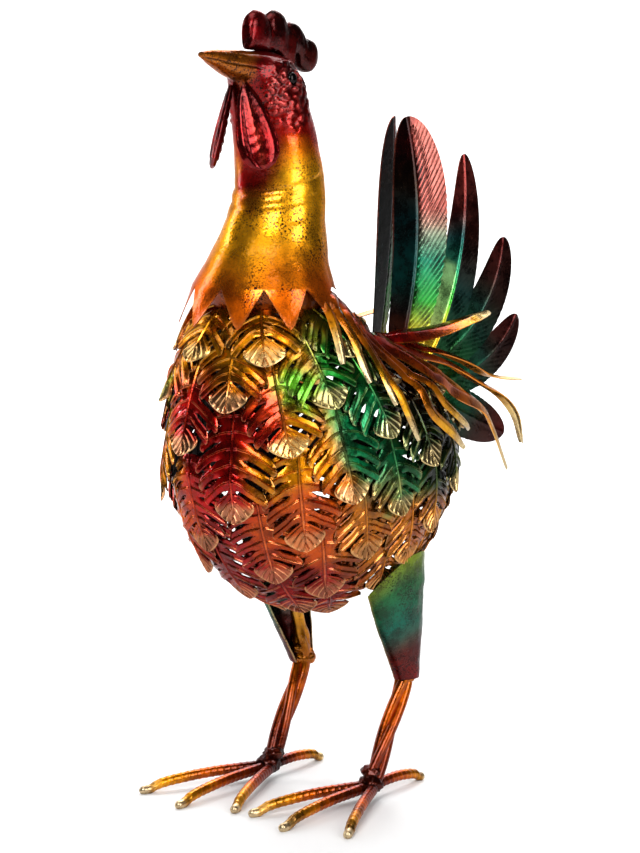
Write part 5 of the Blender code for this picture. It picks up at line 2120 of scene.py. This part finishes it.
def tail_lacquers() -> list[Lacquer]:
    """Return the finish of each tail feather, from the upright one down.

    The colours run up the front half from 0 to 0.46 and up the rear half from 0.54 to 1.

    Returns:
        The five finishes.
    """
    dusk, night, deep_teal = srgb(84, 14, 12), srgb(30, 8, 8), srgb(4, 62, 56)
    pink, lemon, pale_green = srgb(140, 58, 50), srgb(240, 200, 30), srgb(196, 255, 160)
    # On the upright feather, the front half's near-black bands are painted shade of the half that turns from
    # the lights; their hues are the paint's.
    first = (
        (0.0, BROWN), (0.10, srgb(48, 22, 14)), (0.16, deep_teal), (0.28, srgb(6, 48, 50)),
        (0.34, srgb(54, 34, 18)), (0.40, srgb(66, 8, 8)), (0.46, night), (0.54, srgb(130, 70, 14)),
        (0.60, srgb(196, 170, 24)), (0.68, srgb(30, 150, 46)), (0.75, srgb(10, 128, 96)),
        (0.80, srgb(118, 120, 100)), (0.84, pink), (1.0, pink),
    )
    second = (
        (0.0, BROWN), (0.05, lemon), (0.11, lemon), (0.17, srgb(60, 180, 40)), (0.23, srgb(6, 130, 90)),
        (0.29, srgb(8, 84, 84)), (0.35, srgb(100, 20, 16)), (0.46, srgb(128, 22, 18)), (0.54, BROWN),
        (0.62, srgb(10, 84, 44)), (0.74, srgb(6, 62, 58)), (0.84, srgb(74, 24, 18)),
        (1.0, srgb(104, 18, 16)),
    )
    third = (
        (0.0, BROWN), (0.08, srgb(40, 110, 20)), (0.18, srgb(6, 84, 50)), (0.28, srgb(20, 60, 50)),
        (0.36, srgb(60, 22, 18)), (0.46, dusk), (0.54, BROWN), (0.64, srgb(14, 92, 34)),
        (0.76, srgb(10, 58, 46)), (0.86, srgb(40, 20, 16)), (1.0, srgb(62, 16, 14)),
    )
    lower = (third, pink, 0.0)
    fan = ((first, srgb(160, 96, 84), 0.2), (second, pale_green, 0.95), lower, lower, lower)
    return [
        Lacquer(
            f"tail_lacquer_{number + 1}",
            bands=bands,
            tip=tip,
            tip_strength=strength,
            rim=srgb(226, 120, 96),
            foil=srgb(255, 236, 214),
            ridge_highlight_strength=0.14 if number < 2 else 0.06,
            wash=srgb(14, 4, 4),
            dirt_and_shade_strength=1.0,
            mottle=0.45,
            drift=0.02,
            coat=0.2,
            fine_speckle=0.35,
        )
        for number, (bands, tip, strength) in enumerate(fan)
    ]


def backs_and_inner_shade() -> Lacquer:
    """Return the dark paint on the backs of the leaves, which also stands in as painted shade inside the
    cage.
    """
    return Lacquer(
        "dark_lining",
        base=srgb(30, 18, 14),
        ridge_highlight_strength=0.0,
        rim_strength=0.0,
        roughness=0.5,
        metallic=0.3,
        coat=0.1,
    )


def neck_lacquer() -> Lacquer:
    """Return the finish of the neck and head, copper at the collar, then gold, then deep red."""
    return Lacquer(
        "neck_lacquer",
        bands=(
            (0.0, srgb(168, 70, 2)), (0.17, srgb(222, 100, 4)), (0.32, srgb(255, 172, 22)),
            (0.54, srgb(255, 178, 26)), (0.62, srgb(240, 126, 10)), (0.70, srgb(190, 30, 6)),
            (0.76, srgb(160, 8, 6)), (1.0, DEEP_RED),
        ),
        zones=(
            Zone((0.0, -0.116, 0.495), 0.042, srgb(150, 12, 6), 0.35),
            Zone((0.0, -0.135, 0.565), 0.034, srgb(170, 92, 20), 0.25),
        ),
        # The near-black tip colour is painted shade in the face's recesses, the creases and the sleeve.
        tip=srgb(16, 6, 4),
        tip_strength=0.9,
        dirt_and_shade_strength=0.12,
        foil=srgb(255, 170, 156),
        rim_strength=0.08,
        speckle=1.0,
        fine_speckle=1.0,
        mottle=0.06,
        roughness=0.3,
    )


def eye_lacquer() -> Lacquer:
    """Return the eyes' dark gloss."""
    return Lacquer(
        "eye_lacquer", base=srgb(16, 8, 8), dirt_and_shade_strength=0.1, speckle=0.1, roughness=0.12, grain=0.02
    )


def comb_lacquer() -> Lacquer:
    """Return the comb's dark red."""
    return Lacquer(
        "comb_lacquer",
        bands=((0.0, srgb(130, 6, 12)), (0.4, srgb(104, 10, 12)), (1.0, srgb(84, 22, 14))),
        foil=srgb(190, 40, 40),
        ridge_highlight_strength=0.1,
        rim=srgb(110, 30, 22),
        # The dark tip colour is painted shade in the comb's dents.
        tip_strength=0.6,
        tip=srgb(40, 4, 6),
        dirt_and_shade_strength=0.7,
        mottle=0.9,
        roughness=0.26,
        grain=0.6,
    )


def wattle_lacquer() -> Lacquer:
    """Return the wattles' red."""
    return Lacquer(
        "wattle_lacquer",
        bands=((0.0, srgb(96, 6, 8)), (0.6, srgb(150, 8, 12)), (1.0, srgb(130, 8, 12))),
        # The dark tip colour is painted shade in the wattles' groove.
        tip=srgb(40, 4, 6),
        tip_strength=0.7,
        ridge_highlight_strength=0.1,
        rim=srgb(190, 50, 44),
        rim_strength=0.2,
        speckle=0.2,
        roughness=0.18,
        grain=0.4,
    )


def saddle_lacquer() -> Lacquer:
    """Return the finish of the saddle's strips, from dark red to gold with cream tips."""
    return Lacquer(
        "saddle_lacquer",
        bands=(
            (0.0, srgb(110, 8, 12)), (0.20, srgb(196, 16, 12)), (0.36, srgb(186, 60, 4)),
            (0.66, srgb(222, 118, 4)), (0.86, srgb(240, 176, 30)), (1.0, srgb(222, 196, 136)),
        ),
        tip=srgb(226, 204, 160),
        tip_strength=0.7,
        rim=srgb(244, 150, 50),
        rim_strength=0.5,
        drift=0.03,
    )


def leg_lacquer() -> Lacquer:
    """Return the finish of the shanks and toes, dark at the weld and cream at the toes' tips."""
    return Lacquer(
        "leg_lacquer",
        bands=(
            (0.0, srgb(70, 18, 10)), (0.15, srgb(134, 44, 10)), (0.5, srgb(214, 98, 4)),
            (0.8, srgb(236, 158, 10)), (1.0, srgb(224, 190, 120)),
        ),
        tip=CREAM,
        tip_strength=0.9,
        roughness=0.32,
    )


def thigh_lacquer() -> Lacquer:
    """Return the thighs' speckled green, which turns red below."""
    return Lacquer(
        "thigh_lacquer",
        bands=(
            (0.0, srgb(124, 10, 10)), (0.28, srgb(104, 30, 24)), (0.44, srgb(50, 84, 70)),
            (0.56, srgb(14, 104, 84)), (0.8, srgb(34, 104, 56)), (1.0, srgb(130, 150, 24)),
        ),
        speckle=1.0,
        fine_speckle=0.9,
    )


def main() -> None:
    """Build every piece of the bird and its stage."""
    logging.basicConfig(level=logging.INFO, format="%(message)s")
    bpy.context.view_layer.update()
    Studio().build()
    Leaves().build(leaf_lacquer().material(), backs_and_inner_shade().material())
    NeckAndHead().build(neck_lacquer().material(), eye_lacquer().material())
    Comb().build(comb_lacquer().material())
    Wattles().build(wattle_lacquer().material())
    Tail().build([finish.material() for finish in tail_lacquers()])
    Saddle().build(saddle_lacquer().material())
    Legs().build(leg_lacquer().material())
    Thighs().build(thigh_lacquer().material())


if __name__ == "__main__":
    main()
